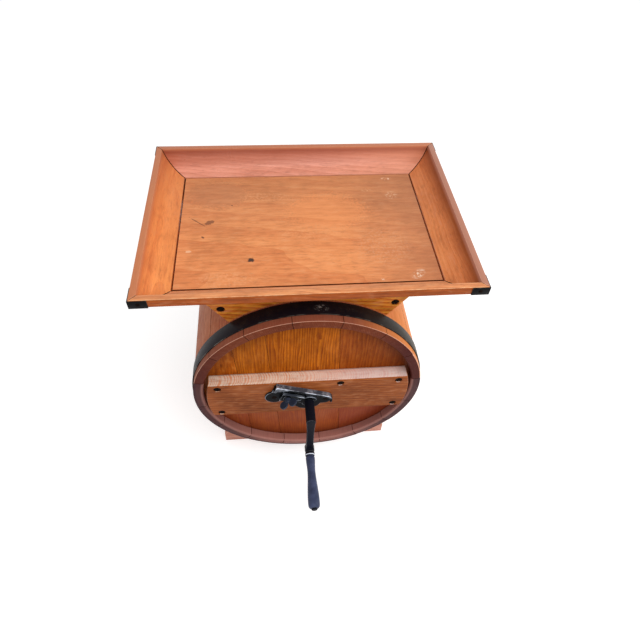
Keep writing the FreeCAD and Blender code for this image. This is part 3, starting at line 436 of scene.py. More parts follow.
@dataclass(frozen=True)
class Wood(Finish):
    """A planed and varnished board from an old tree.

    Attributes:
        grain: The way the grain runs.
        early: The colour of the wide, early wood.
        late: The colour of the narrow, late wood.
        soil: The colour of pores and of old hand grease.
        bare: The colour where an edge is rubbed; on the lower staves it is a dark painted shade.
        ring: The mean distance between growth rings, in millimetres.
        fibre: The width of a fibre streak, in millimetres.
        figure: How strongly the rings show, from 0 to 1.
        roughness: The varnish's roughness.
        sheen: How strongly its surface reflects.
        blotch: How strongly large stains show.
        patina: How strongly small stains show.
        wander: How far the grain strays from a straight line, in millimetres.
        rub: How much of an eased arris is rubbed at least, from 0 to 1.
        heart: Where the tree's heart is, in millimetres, or none for a place that follows the seed.
    """

    grain: Grain
    early: str
    late: str
    soil: str
    bare: str
    ring: float = 5.0
    fibre: float = 1.3
    figure: float = 0.6
    roughness: float = 0.42
    sheen: float = 0.12
    blotch: float = 0.35
    patina: float = 0.15
    wander: float = 16
    rub: float = 0.15
    heart: Point | None = None

    def make(self, seed: int, rubbed: bool = False) -> Material:
        """Builds the material for one board.

        Args:
            seed: A number that shifts the figure, so that no two neighbours match.
            rubbed: Whether this is the same board where its edge is rubbed: pale on most boards, a dark painted
                shade on the lower staves.

        Returns:
            The material.
        """
        material, nodes, here = self.begin(f"{self.name}_{seed}{'_rubbed' if rubbed else ''}")
        place = nodes.out("Mapping", {"Vector": here, "Location": self.away(seed)})
        bent = self.wandering(nodes, place)
        fibres = self.streaks(nodes, bent, self.fibre, 45, 5)
        broad = self.streaks(nodes, bent, self.fibre * 6, 25, 3)
        stains = self.streaks(nodes, bent, 6, 3.5, 7)
        patch = nodes.cloud(place, 75)
        pores = nodes.between(self.streaks(nodes, bent, self.fibre * 0.55, 14, 2), 0.6, 0.74, 0, 0.55)
        rings = nodes.between(self.rings(nodes, bent, seed), 0.1, 1.0, 0, self.figure)
        lines = nodes.both(rings, nodes.between(fibres, 0.3, 0.75, 0, 0.55), "ADD")
        early, late, soil, bare = (hex_colour(code) for code in (self.early, self.late, self.soil, self.bare))
        colour = early
        for mask, over in (
            (lines, late),
            (nodes.between(broad, 0.35, 0.7, 0, 0.4), late),
            (pores, soil),
            (nodes.between(patch, 0.5, 0.78, 0, self.blotch), soil),
            (nodes.between(patch, 0.5, 0.2, 0, self.blotch), early),
            (nodes.between(stains, 0.52, 0.72, 0, self.patina * 2), soil),
            (nodes.between(stains, 0.47, 0.32, 0, self.patina), bare),
        ):
            colour = nodes.blend(mask, colour, over)
        colour = self.aged_and_shaded(nodes, here, colour)
        # On the lower staves the rubbed colour is a dark painted shade
        if rubbed:
            rub = nodes.between(nodes.cloud(place, 9), 0.35, 0.6, self.rub, 0.85)
            colour = nodes.blend(rub, colour, bare)
        height = nodes.both(nodes.between(fibres, 0.2, 0.8, 1, 0.4), pores, "SUBTRACT")
        shading = {
            "Base Color": colour,
            "Roughness": nodes.between(patch, 0.3, 0.7, self.roughness - 0.07, self.roughness + 0.1),
            "Specular IOR Level": self.sheen,
        }
        self.close(nodes, height, 0.25, shading)
        return material

    @staticmethod
    def away(seed: int) -> Vector:
        """How far one board's figure is shifted, in metres."""
        return Vector((0.37 * seed % 1.9, 0.53 * seed % 1.7, 0.29 * seed % 1.3))

    def wandering(self, nodes: Nodes, place: Socket) -> Socket:
        """Bends straight grain by a few millimetres, slowly along the board."""
        stretch = Vector(self.grain.stretched(1 / 160, 1 / 70)) / MM
        wide = nodes.out("Mapping", {"Vector": place, "Scale": stretch})
        noise = nodes.out("TexNoise", {"Vector": wide, "Scale": 1.0, "Detail": 2.0}, "Color")
        middle = nodes.vector("SUBTRACT", noise, (0.5, 0.5, 0.5))
        small = nodes.out("VectorMath", {0: middle, "Scale": self.wander * MM}, operation="SCALE")
        return nodes.vector("ADD", place, small)

    def rings(self, nodes: Nodes, bent: Socket, seed: int) -> Socket:
        """Growth rings about a heart that lies beside the board and leans a little to it."""
        lean = math.radians(2.2 + seed * 1.7 % 3)
        placing = {"Vector": bent, "Location": Vector((0.03, 0.05, 0.04))}
        uneven = {"Distortion": 1.6, "Detail": 2.0, "Detail Scale": 0.25}
        if self.heart:
            lean *= 1.25
            beside = millimetres(self.heart) + self.away(seed)
            placing["Location"] = Vector((1, 1, 1)) * (seed * 37 % 11) * MM - beside
            placing["Scale"] = self.grain.stretched(0.12, 1)
            uneven = {"Distortion": 12.0, "Detail": 3.0, "Detail Scale": 0.7}
        placing["Rotation"] = (lean, -lean, lean * 0.6)
        inputs = {"Vector": nodes.out("Mapping", placing), "Scale": WAVE_LENGTH / (self.ring * MM)} | uneven
        way = self.grain.value
        return nodes.out("TexWave", inputs, "Fac", wave_type="RINGS", rings_direction=way, wave_profile="SAW")

    def streaks(self, nodes: Nodes, bent: Socket, width: float, draw: float, detail: float) -> Socket:
        """Noise that is as wide as a fibre and drawn out along the grain."""
        stretch = Vector(self.grain.stretched(1 / (width * draw), 1 / width)) / MM
        fine = nodes.out("Mapping", {"Vector": bent, "Scale": stretch})
        return nodes.out("TexNoise", {"Vector": fine, "Scale": 1.0, "Detail": detail})


@dataclass(frozen=True)
class SawnEdge(Wood):
    """The narrow edge of a thick board, where the growth rings come out as small nested arches.

    Attributes:
        middle: The middle of the edge along Y, in millimetres.
        arch: How far an arch bows, per millimetre squared.
        fade: Between which places along X the arches grow faint.
    """

    middle: float = 0.0
    arch: float = 0.035
    fade: tuple[float, float] = (-90.0, 20.0)

    def rings(self, nodes: Nodes, bent: Socket, seed: int) -> Socket:
        """Bands across the board whose ends fall back by the square of their distance from the middle."""
        shift = self.away(seed)
        parts = nodes.add("SeparateXYZ", {0: bent}).outputs
        off = nodes.out("Math", {0: parts["Y"], 1: self.middle * MM + shift.y}, operation="SUBTRACT")
        square = nodes.out("Math", {0: off, 1: off}, operation="MULTIPLY")
        bow = {0: square, 1: self.arch / MM, 2: parts["X"]}
        line = nodes.out("CombineXYZ", {"X": nodes.out("Math", bow, operation="MULTIPLY_ADD")})
        inputs = {"Vector": line, "Scale": WAVE_LENGTH / (self.ring * MM)}
        inputs |= {"Distortion": 22.0, "Detail": 3.0, "Detail Scale": 0.4}
        wave = nodes.out("TexWave", inputs, "Fac", wave_type="BANDS", wave_profile="SIN")
        start, end = (shift.x + place * MM for place in self.fade)
        clear = nodes.between(parts["X"], start, end, 1, 0.55)
        worn = nodes.between(nodes.cloud(bent, 14), 0.36, 0.56, 0.3, 1)
        seen = nodes.both(clear, worn, "MULTIPLY")
        return nodes.both(nodes.between(wave, 0.35, 0.8, 0, 1), seen, "MULTIPLY")


@dataclass(frozen=True)
class Iron(Finish):
    """Iron under old black paint, rubbed bright along its edges.

    Attributes:
        paint: The colour of the paint.
        dust: The colour of dust and thin rust in the hollows.
        bright: The colour of rubbed metal.
        pit: The size of the surface's grain, in millimetres.
        roughness: The paint's roughness.
        rub: Where the rubbing starts, as pointedness over a flat face.
        worn: How much of a flat face is rubbed, from 0 to 1.
        sheen: How strongly the paint reflects.
    """

    paint: str
    dust: str
    bright: str
    pit: float = 0.9
    roughness: float = 0.42
    rub: float = 0.035
    worn: float = 0.0
    sheen: float = 0.1

    def make(self) -> Material:
        """Builds the material."""
        material, nodes, here = self.begin(self.name)
        grit = nodes.cloud(here, self.pit)
        patch = nodes.cloud(here, 14, 5.0)
        point = nodes.out("NewGeometry", output="Pointiness")
        edge = nodes.between(point, 0.5 + self.rub * 0.5, 0.5 + self.rub * 1.6, 0, 1)
        edge = nodes.both(edge, nodes.between(patch, 0.38, 0.58, 0, 1), "MULTIPLY")
        flat = nodes.between(patch, 0.72 - 0.4 * self.worn, 0.8 - 0.3 * self.worn, 0, self.worn)
        bare = nodes.both(edge, flat, "MAXIMUM")
        dusty = nodes.between(patch, 0.5, 0.8, 0, 0.5)
        colour = nodes.blend(dusty, hex_colour(self.paint), hex_colour(self.dust))
        colour = nodes.blend(bare, colour, hex_colour(self.bright))
        shading = {
            "Base Color": self.aged_and_shaded(nodes, here, colour),
            "Metallic": bare,
            "Roughness": nodes.between(grit, 0.3, 0.7, self.roughness - 0.08, self.roughness + 0.12),
            "Specular IOR Level": self.sheen,
        }
        self.close(nodes, grit, 0.12, shading)
        return material


@dataclass(frozen=True)
class Plain(Finish):
    """A finish with a mottled colour and a fine surface: leather, joint dirt or worn paint.

    Attributes:
        colour: Its main colour.
        second: The colour of its mottling.
        mottle: The size of the mottling, in millimetres.
        roughness: Its roughness.
        sheen: How strongly its surface reflects.
    """

    colour: str
    second: str
    mottle: float
    roughness: float
    sheen: float = 0.2

    def make(self) -> Material:
        """Builds the material."""
        material, nodes, here = self.begin(self.name)
        patch = nodes.cloud(here, self.mottle, 5.0)
        mottled = nodes.between(patch, 0.35, 0.7, 0, 1)
        colour = nodes.blend(mottled, hex_colour(self.colour), hex_colour(self.second))
        shading = {
            "Base Color": self.aged_and_shaded(nodes, here, colour),
            "Roughness": nodes.between(patch, 0.3, 0.7, self.roughness - 0.06, self.roughness + 0.08),
            "Specular IOR Level": self.sheen,
        }
        self.close(nodes, patch, 0.06, shading)
        return material


# The tray's boards: old larch under shellac, orange with redder lines, and a soft gloss in its coves; the rear
# board has painted shade towards its cove's top and where the cove meets the lid, and is lighter towards the
# right
TRAY_WOOD = Wood(
    "tray_shellac", Grain.ACROSS, "faaa90", "cc7658", "84462f", "d4906c", ring=6, figure=0.45, roughness=0.34,
    sheen=0.5,
    tones=(
        # Painted shade towards the cove's top, eased off on the rim's top; lighter towards the right
        Tone("Z", 498, 507, "b05c3c", 0.6),
        Tone("X", 40, 220, "f8a880", 0.4),
        Tone("Z", 511, 519, "8c3c22", 0.6),
        Tone("Z", 521, 524, "d08054", 0.6),
        # A dark line of painted shade where the cove meets the lid
        Tone("Y", 203.2, 201.8, "4a2418", 0.85),
    ),
)
TRAY_RIM = replace(
    TRAY_WOOD, name="tray_rim_shellac", early="ffac70", late="d07848", bare="ffcc98", tones=(), sheen=0.25
)
# A darker, more orange copy of the tray's wood for the faces that look out to the front and back: painted shade
# on those upright faces
TRAY_FRONT = Wood(
    "tray_front_shellac", Grain.ACROSS, "c26026", "8c441c", "522412", "f0b488", ring=5, figure=0.45,
    roughness=0.45,
)
# The side boards: painted shade towards the back and towards the cove's top, eased off on the rim's top
SIDE_PAINTED_SHADE = (
    Tone("Y", 60, 250, "b8684a", 0.4),
    Tone("Z", 504, 518, "b45e3c", 0.35),
    Tone("Z", 519, 523, "c07c5c", 0.6),
)
# The right board's cove faces away from the window: stronger painted shade in it, and a pale pinkish painted
# highlight on its rim's top
RIGHT_SHADE_AND_HIGHLIGHT = (
    Tone("Y", 60, 250, "b8684a", 0.3),
    Tone("Z", 503, 518, "7c3c1e", 0.68),
    Tone("Z", 519, 523, "c48c78", 0.75),
)
SIDE_WOOD = Wood(
    "side_shellac", Grain.ALONG, "ffa45c", "dc7c42", "904c2c", "cc8c68", ring=6, figure=0.45,
    sheen=0.2, tones=SIDE_PAINTED_SHADE,
)
# The right board is a slightly darker copy of the left, as painted shade
RIGHT_WOOD = replace(SIDE_WOOD, name="right_side_shellac", early="f49c60", bare="d89c84", tones=RIGHT_SHADE_AND_HIGHLIGHT)
# The lid: the same wood, used as a worktop, so it is duller, scratched and scuffed; a broad orange patch in its
# middle is a painted pool of light, and its darkening towards the back is partly grey-brown wear and partly
# painted shade
LID_MARKS = (
    Mark(-85.9, -0.5, 6.0, 4.8, 10, "33241f", 0.95),
    Mark(-150.9, 88.5, 9, 5.5, 35, "74452f", 0.75),
    Mark(-170.5, 90.6, 18, 0.9, -41, "5a3428", 0.8),
    Mark(-160.4, 53.3, 3.0, 1.8, -50, "4a2a22", 0.8),
    Mark(-116.4, 130, 1.8, 1.4, 0, "4a2a22", 0.8),
    Mark(152.8, 195.6, 14, 5, 5, "fcd8b8", 0.8, True),
    Mark(154.8, 148.8, 14, 14, 0, "f0c8a4", 0.5, True),
    Mark(111.7, 164.4, 14, 5, 0, "f0c090", 0.5, True),
    Mark(163, -42, 17, 9, 42, "ffe4c8", 0.8, True),
    Mark(107.4, -49.9, 6, 3, -60, "ffe0c4", 0.7, True),
    Mark(-179.9, 21.9, 5, 3, 0, "ffd0a8", 0.6),
    # A painted pool of light in the middle of the lid
    Mark(40, 110, 75, 50, 0, "ffa060", 0.35),
    Mark(-140, 160, 60, 40, 0, "a86c4c", 0.3),
    Mark(-60, 150, 60, 16, 0, "f8bc88", 0.25, True),
    Mark(10, 60, 70, 30, 0, "ffb880", 0.2, True),
    Mark(-120, -40, 60, 20, 0, "ffc090", 0.25, True),
    Mark(120, 20, 60, 60, 0, "e8b890", 0.22, True),
)
# Grey-brown towards the right; darker towards the back, partly wear and partly painted shade
LID_TONES = (Tone("X", 60, 200, "a8745a", 0.4), Tone("Y", 40, 200, "b07a58", 0.4))
LID_WOOD = Wood(
    "lid_shellac", Grain.ACROSS, "ffa96a", "d4743e", "8e5232", "ffc894", ring=9, fibre=1.3, figure=0.35,
    roughness=0.5, sheen=0.3, blotch=0.35, patina=0.15, wander=10, tones=LID_TONES, marks=LID_MARKS,
)
# The heads: quarter-sawn boards, so their rings are close upright lines; amber shellac, redder below the bar,
# with painted shade on the right and round the rim under the chime
HEAD_WOOD = Wood(
    "head_shellac", Grain.UP, "dc7a16", "883a08", "3c1404", "dc9040", ring=4.8, fibre=1.2, figure=0.65,
    roughness=0.36, sheen=0.05, blotch=0.35, patina=0.12, wander=6, heart=(-900, 30, 0),
    tones=(
        # Painted shade on the right, where the chime shades the head
        Tone("X", 60, 150, "5c2410", 0.5),
        Tone("Z", 235, 190, "8c3828", 0.6),
        # Darker round the rim under the chime: partly dirt and partly painted shade
        Tone("R", 148, 186, "4a1808", 0.55),
    ),
)
HEAD_BOARDS = (
    replace(HEAD_WOOD, name="head_mottled", figure=0.35, early="cc6c16", patina=0.3),
    replace(HEAD_WOOD, name="head_plain", figure=0.5, early="d47818", wander=12),
    HEAD_WOOD,
    replace(HEAD_WOOD, name="head_red", early="b85e18", ring=6.5),
)
# The staves: the same wood, with painted light on the side that faces the window, and darker towards their
# front ends
STAVE_WOOD = Wood(
    "stave_shellac", Grain.ALONG, "ce865c", "a45a44", "6b3226", "ecb69c", ring=4.5, figure=0.5, rub=0.55,
    # Darker towards the front end; the X tone is painted light on the window side
    sheen=0.04, tones=(Tone("Y", -58, -75, "7c4434", 0.75), Tone("X", 60, 190, "ff9c48", 0.7)),
)
# The lower staves: their arrises and the band at their front ends are a dark painted shade along the barrel's
# shaded underside; the window side is painted light as above
STAVE_LOW = replace(
    STAVE_WOOD, name="stave_low_shellac", bare="3a1a20", rub=0.7,
    tones=(Tone("Y", -66, -76, "3a1a20", 0.8), Tone("X", 60, 190, "ff9c48", 0.7)),
)
# The staves' end grain, with painted shade at its left and right sides
STAVE_END = Wood(
    "stave_end_grain", Grain.ALONG, "86442a", "5a281a", "361610", "e0a888", ring=3.2, fibre=0.9, figure=0.45,
    roughness=0.5, sheen=0.06, patina=0.05,
    tones=(Tone("X", 95, 160, "401618", 0.8), Tone("X", -125, -178, "481a18", 0.7)),
)
# The lower staves' end grain: paler, partly as painted light on the inner wall that faces up; painted shade at
# its sides and along its outer edge, and a pale painted highlight along its inner edge
LOW_END = replace(
    STAVE_END, name="stave_end_low", early="a86c60", late="7a463c", bare="e0b09c", sheen=0.1,
    tones=(
        Tone("X", 70, 150, "341218", 0.88),
        Tone("X", -65, -145, "3c1418", 0.88),
        Tone("R", 189, 185, "c0887c", 0.5),
        Tone("R", 194, 197, "3a1a20", 0.8),
    ),
)
# The bars, feet and saddles: the same wood again
FRAME_WOOD = Wood(
    "frame_shellac", Grain.ACROSS, "b46430", "7c3c1a", "40190e", "e8a878", ring=6, fibre=1.6, figure=0.55,
    sheen=0.06, blotch=0.5, wander=10,
)
FOOT_WOOD = Wood("foot_shellac", Grain.ACROSS, "e49c84", "b4705c", "6a3a30", "f4c4b4", ring=6, figure=0.5)
SADDLE_WOOD = Wood(
    "saddle_shellac", Grain.ACROSS, "ffac40", "cc6420", "2c1006", "f0b080", ring=7, fibre=2.0, figure=0.95,
    roughness=0.34, wander=10, patina=0.25,
)
# The bars' top and bottom faces are sawn edges with nested arches; their pale pinkish colour is partly the wood
# and partly a painted reflection of the sky
BAR_EDGE = SawnEdge(
    "bar_edge_shellac", Grain.ACROSS, "fffae8", "eca880", "8a5440", "fff4e4", ring=4.4, fibre=1.8, figure=0.9,
    roughness=0.45, sheen=0.3, blotch=0.12, wander=9, patina=0.15, middle=-82.6,
    tones=(
        # Painted reflection: pinkish white towards the right
        Tone("X", -40, 90, "f0c8cc", 0.45),
        Tone("X", -165, -180, "94705c", 0.2),
        Tone("X", 150, 182, "6c5454", 0.6),
        # A dark line along the back edge, where the bar meets the head: partly dirt and partly painted shade
        Tone("Y", -74, -71, "5c3424", 0.8),
    ),
)
FRAME_SIDE = Wood("frame_side_shellac", Grain.ALONG, "c8843c", "a35f26", "5f3a1c", "dba27a", ring=4.5)
# The dasher: beech scrubbed bare, as nothing may taint the butter
BARE_WOOD = Wood(
    "scrubbed_beech", Grain.ALONG, "cdb088", "b8946a", "8d6f50", "dcc6a2", ring=4, figure=0.3, roughness=0.62
)
# The lock and the crank: grey iron castings under old black paint, bright where hands and the bar rub them; the
# faces that look up along the lock's rail also get a lighter, glossier paint as a painted highlight
CAST_IRON = Iron("cast_iron_painted", "07080c", "121014", "a4aab6", rub=0.03, roughness=0.5, sheen=0.05)
CAST_RUBBED_AND_HIGHLIT = Iron("cast_iron_handled", "3a3e48", "16161c", "c4cad6", rub=0.02, worn=0.55, sheen=0.3)
CRANK_IRON = Iron("crank_iron_painted", "12131c", "1a1820", "c8ccd4", rub=0.06, sheen=0.05)
THUMB_IRON = Iron("thumb_iron_painted", "2c3242", "1c1c26", "9aa2b0", rub=0.05)
# The hoops and corner irons: rolled strip iron, blacked, with scuffs on top
HOOP_MARKS = (Mark(17, -62, 14, 9, 0, "a09c98", 0.6, True), Mark(60, -60, 20, 5, 0, "4a443c", 0.4, True))
STRIP_IRON = Iron(
    "strip_iron_blacked", "171218", "322a24", "8c8678", pit=1.6, rub=0.5, sheen=0.08,
    tones=(Tone("X", 70, 190, "565040", 0.45),), marks=HOOP_MARKS,
)
STRIP_EDGE = Iron("strip_iron_rubbed_edge", "1e1a1a", "3a352c", "8f8a80", pit=1.6, rub=0.5, worn=0.6)
CORNER_IRON = Iron("corner_iron_blacked", "0c0b0c", "1a1614", "8c8678", pit=1.2, rub=0.5, sheen=0.06)
# The screws: blued steel, browned by age
SCREW_IRON = Iron(
    "browned_screw_steel", "1a110e", "2c1c16", "6c6058", pit=0.7, roughness=0.6, rub=2.0, sheen=0.02
)
JOINT_DIRT = Plain("joint_dirt", "22120e", "30190f", 6, 0.8, 0.0)
# Washers of oiled leather, and a turned wooden grip under blue-black paint; the grip's blue-grey colour and
# lighter blotches are partly faded paint and partly a painted reflection of the sky
LEATHER = Plain("oiled_leather", "4a3020", "6a4830", 3, 0.6)
GRIP_PAINT_AND_REFLECTION = Plain("grip_black_paint", "343b54", "4c5474", 16, 0.36, 0.14)


def shared(finish: Iron | Plain) -> Material:
    """A finish's one material."""
    return bpy.data.materials.get(finish.name) or finish.make()


def coat(piece: Piece, *finishes: Iron | Plain) -> None:
    """Gives a piece these finishes, one slot each."""
    for finish in finishes:
        piece.data.materials.append(shared(finish))


@dataclass(frozen=True)
class Easing:
    """How a board's edges are treated.

    Attributes:
        worn: The width of the rubbed arris, in millimetres.
        joint: The width of the groove along a glued joint.
        shortest: Edges shorter than this are left, so that holes stay crisp.
    """

    worn: float = 1.0
    joint: float = 0.45
    shortest: float = 5.0


def sharp(edge: Edge, shortest: float, degrees: float = 25) -> bool:
    """Whether an edge is a real arris that is long enough to ease."""
    if len(edge.link_faces) != 2 or edge.calc_length() < shortest * MM:
        return False
    return edge.calc_face_angle(0.0) > math.radians(degrees)


def on_joint(face: Face) -> bool:
    """Whether a face of a tray board is one of its mitres."""
    return abs(face.normal.x) > 0.6 and abs(face.normal.y) > 0.6


def radial_joint(face: Face) -> bool:
    """Whether a face of a stave meets its neighbour."""
    middle = face.calc_center_median()
    out = Vector((middle.x, 0, middle.z - AXIS_Z * MM)).normalized()
    return abs(face.normal.y) < 0.2 and abs(face.normal.dot(out)) < 0.25


def upright_joint(face: Face) -> bool:
    """Whether a face of a head board meets its neighbour."""
    return abs(face.normal.x) > 0.9


def sideways(face: Face) -> bool:
    """Whether a face of the lid meets the tray round it."""
    return abs(face.normal.z) < 0.5


def no_face(face: Face) -> bool:
    """For a board that stands free, or is cut one way."""
    return False


def chime(face: Face) -> bool:
    """Whether a face of a stave is its end grain, or the wall round a sunk head."""
    middle = face.calc_center_median()
    inside = abs(face.normal.y) < 0.3 and math.hypot(middle.x, middle.z - AXIS_Z * MM) < WALL_REACH * MM
    sunk = not HEAD_FACES[0] * MM < middle.y < HEAD_FACES[1] * MM
    return abs(face.normal.y) > 0.6 or (inside and sunk)


def outward(face: Face) -> bool:
    """Whether a face of the tray looks out to the front or the back."""
    reach = abs(face.calc_center_median().y - TRAY_MIDDLE * MM)
    return abs(face.normal.y) > 0.7 and reach > TRAY_REACH * MM


def upward(face: Face) -> bool:
    """Whether a face looks up or down."""
    return abs(face.normal.z) > 0.9


def on_rail(face: Face) -> bool:
    """Whether a face looks up along the lock's tilted rail, or is the lip at its left end."""
    middle = face.calc_center_median()
    up = Vector((math.sin(LOCK_TILT), 0, math.cos(LOCK_TILT)))
    lip = middle.x < LIP_X * MM and middle.z > LIP_Z * MM and face.normal.y < -0.3
    return face.normal.dot(up) > 0.75 or lip


def mouth_stave(inner: Vector) -> int:
    """Which of the three short staves at the hopper's mouth a point is in."""
    turn = math.degrees(math.atan2(inner.x, inner.z - AXIS_Z * MM))
    return int((turn - MOUTH_START) // STAVE_ARC)


def strip(node: str, name: str, finish: Iron, shortest: float, width: float) -> None:
    """Makes a piece of strip iron: blacked, with rounded edges that are rubbed.

    Args:
        node: The CAD node.
        name: The piece's name.
        finish: Its iron.
        shortest: Edges shorter than this are left, in millimetres.
        width: The width of the rounding.
    """
    piece = copy_of(node, name)
    coat(piece, finish, STRIP_EDGE)
    with editing(piece, "EDGE"):
        pick(piece, lambda edge: sharp(edge, shortest, 50), edges=True)
        bevel(width, 2, 1)
    smooth_by_angle(piece)
    hand_over(piece, "barrel", "black_iron", node)


@dataclass
class Board:
    """A wooden piece that keeps its CAD shape and gets eased arrises and dirt in its joints.

    Attributes:
        node: The CAD node it stands for.
        wood: Its wood.
        seed: Which part of the tree it is.
        slot: The record's material slot.
        joint: A test for faces that meet a neighbour.
        easing: The widths along its edges.
        body: The body it rides on.
        other: A second wood: end grain and sawn edges on the staves and bars, and a darker copy as painted
            shade on the tray's outward faces.
        other_faces: A test for those faces.
        group: Tells a node's touching solids apart.
        solids: How many there are.
    """

    node: str
    wood: Wood
    seed: int
    slot: str
    joint: FaceTest = no_face
    easing: Easing = Easing()
    body: str = "barrel"
    other: Wood | None = None
    other_faces: FaceTest = no_face
    group: Callable[[Vector], int] | None = None
    solids: int = 1

    def build(self) -> None:
        """Makes the piece, which rides on its body."""
        piece = copy_of(self.node, f"{self.node}_board", self.group, self.solids)
        for rubbed in (False, True):
            piece.data.materials.append(self.wood.make(self.seed, rubbed))
        coat(piece, JOINT_DIRT)
        self.ease(piece)
        if self.other:
            piece.data.materials.append(self.other.make(self.seed))
            paint(piece, OTHER, lambda face: face.material_index == WOOD and self.other_faces(face))
        smooth_by_angle(piece)
        hand_over(piece, self.body, self.slot, self.node)

    def ease(self, piece: Piece) -> None:
        """Rounds the arrises that hands rub, and opens a fine groove along joints."""
        shortest = self.easing.shortest
        with editing(piece, "EDGE"):
            if pick(piece, lambda edge: sharp(edge, shortest) and self.meets(edge), edges=True):
                bevel(self.easing.joint, 1, JOINT)
            if pick(piece, lambda edge: sharp(edge, shortest, 50) and not self.meets(edge), edges=True):
                bevel(self.easing.worn, 2, RUBBED_AND_SHADED)

    def meets(self, edge: Edge) -> bool:
        """Whether an edge borders a face that meets a neighbour."""
        return any(self.joint(face) for face in edge.link_faces)


@dataclass
class Barrel:
    """The staves, heads, hoops and the two cross bars.

    Attributes:
        stave_count: Whole staves, apart from the short ones at the hopper's mouth.
        low: The staves of the lower half.
    """

    stave_count: int = 13
    low: range = range(3, 12)

    def build(self) -> None:
        """Makes all of the barrel's pieces."""
        staves = [f"stave_{index:02d}" for index in range(1, self.stave_count + 1)]
        for seed, node in enumerate([*staves, "short_staves"], start=1):
            wood, end_wood = (STAVE_LOW, LOW_END) if seed in self.low else (STAVE_WOOD, STAVE_END)
            mouth = {"group": mouth_stave, "solids": 3} if node == "short_staves" else {}
            Board(
                node, wood, seed * 3 % 11, "stave_wood", radial_joint, Easing(1.5, 0.5),
                other=end_wood, other_faces=chime, **mouth,
            ).build()
        for end in ("front", "rear"):
            for index, wood in enumerate(HEAD_BOARDS, start=1):
                node = f"{end}_head_board_{index}"
                Board(node, wood, index + 20, "head_wood", upright_joint, Easing(0.5, 0.35)).build()
            bar = Board(f"{end}_crossbar", FRAME_WOOD, 31, "frame_wood", easing=Easing(0.7))
            replace(bar, other=BAR_EDGE, other_faces=upward).build()
            strip(f"{end}_hoop", f"{end}_hoop_strip", STRIP_IRON, 2, 0.5)


@dataclass
class Cradle:
    """The feet, saddles, ledges and hopper boards that carry the barrel and the tray."""

    def build(self) -> None:
        """Makes the frame's boards."""
        kinds = (("foot", FOOT_WOOD, 40), ("saddle", SADDLE_WOOD, 44), ("ledge", FRAME_WOOD, 48))
        for seed, end in enumerate(("front", "rear")):
            for kind, wood, first in kinds:
                Board(f"{end}_{kind}", wood, first + seed, "frame_wood").build()
        for seed, side in enumerate(("left", "right")):
            Board(f"{side}_hopper_board", FRAME_SIDE, 52 + seed, "frame_wood").build()


@dataclass
class Tray:
    """The four coved boards, the lid panel and the irons round the corners."""

    def build(self) -> None:
        """Makes the tray's pieces."""
        for side, wood, seed, face_wood in (
            ("front", TRAY_RIM, 60, TRAY_FRONT),
            ("rear", TRAY_WOOD, 61, TRAY_FRONT),
            ("left", SIDE_WOOD, 64, None),
            ("right", RIGHT_WOOD, 65, None),
        ):
            Board(
                f"{side}_tray_board", wood, seed, "tray_wood", on_joint, Easing(1.1, 0.8, 1.0),
                other=face_wood, other_faces=outward,
            ).build()
        Board("lid_panel", LID_WOOD, 0, "lid_wood", sideways, Easing(0.8, 1.0), body="lid").build()
        strip("corner_irons", "corner_iron_straps", CORNER_IRON, 0.8, 0.25)


@dataclass
class Casting:
    """A cast iron piece: its CAD shape with soft edges, as a sand mould leaves them.

    Attributes:
        node: The CAD node.
        body: The body it rides on.
        voxel: How fine its surface is, in millimetres.
        finish: Its iron.
        rounds: How often it is smoothed.
        handled_and_highlit: A test for the faces that hands keep bright, and that get a lighter, glossier paint
            as a painted highlight.
    """

    node: str
    body: str
    voxel: float
    finish: Iron = CAST_IRON
    rounds: int = 3
    handled_and_highlit: FaceTest | None = None

    def build(self) -> None:
        """Makes the piece."""
        piece = copy_of(self.node, f"{self.node}_casting")
        remesh = piece.modifiers.new("skin", "REMESH")
        remesh.mode = "VOXEL"
        remesh.voxel_size = self.voxel * MM
        remesh.use_smooth_shade = True
        soften = piece.modifiers.new("soften", "SMOOTH")
        soften.factor = 0.5
        soften.iterations = self.rounds
        apply_modifiers(piece)
        piece.data.materials.clear()
        coat(piece, self.finish)
        if self.handled_and_highlit:
            coat(piece, CAST_RUBBED_AND_HIGHLIT)
            paint(piece, 1, self.handled_and_highlit)
        hand_over(piece, self.body, "cast_iron", self.node)


@dataclass
class CrankLock:
    """The lock plate, its sliding bar, washer and thumb screw, and the crank they hold."""

    def build(self) -> None:
        """Makes the iron pieces."""
        for casting in (
            Casting("lock_plate", "barrel", 0.8, handled_and_highlit=on_rail),
            Casting("clamp_bar", "clamp", 0.6, handled_and_highlit=on_rail),
            Casting("clamp_washer", "washer", 0.35),
            Casting("thumb_screw", "thumb_screw", 0.45, THUMB_IRON),
            Casting("crank", "crank", 0.9, CRANK_IRON),
            Casting("grip_spindle", "crank", 0.6, CRANK_IRON),
            Casting("rear_pivot", "barrel", 0.9),
            Casting("shaft_bush", "barrel", 0.6),
        ):
            casting.build()


@dataclass(frozen=True)
class Ring:
    """One ring of a turned piece: how far along the axis, and its radius, in millimetres."""

    along: float
    radius: float


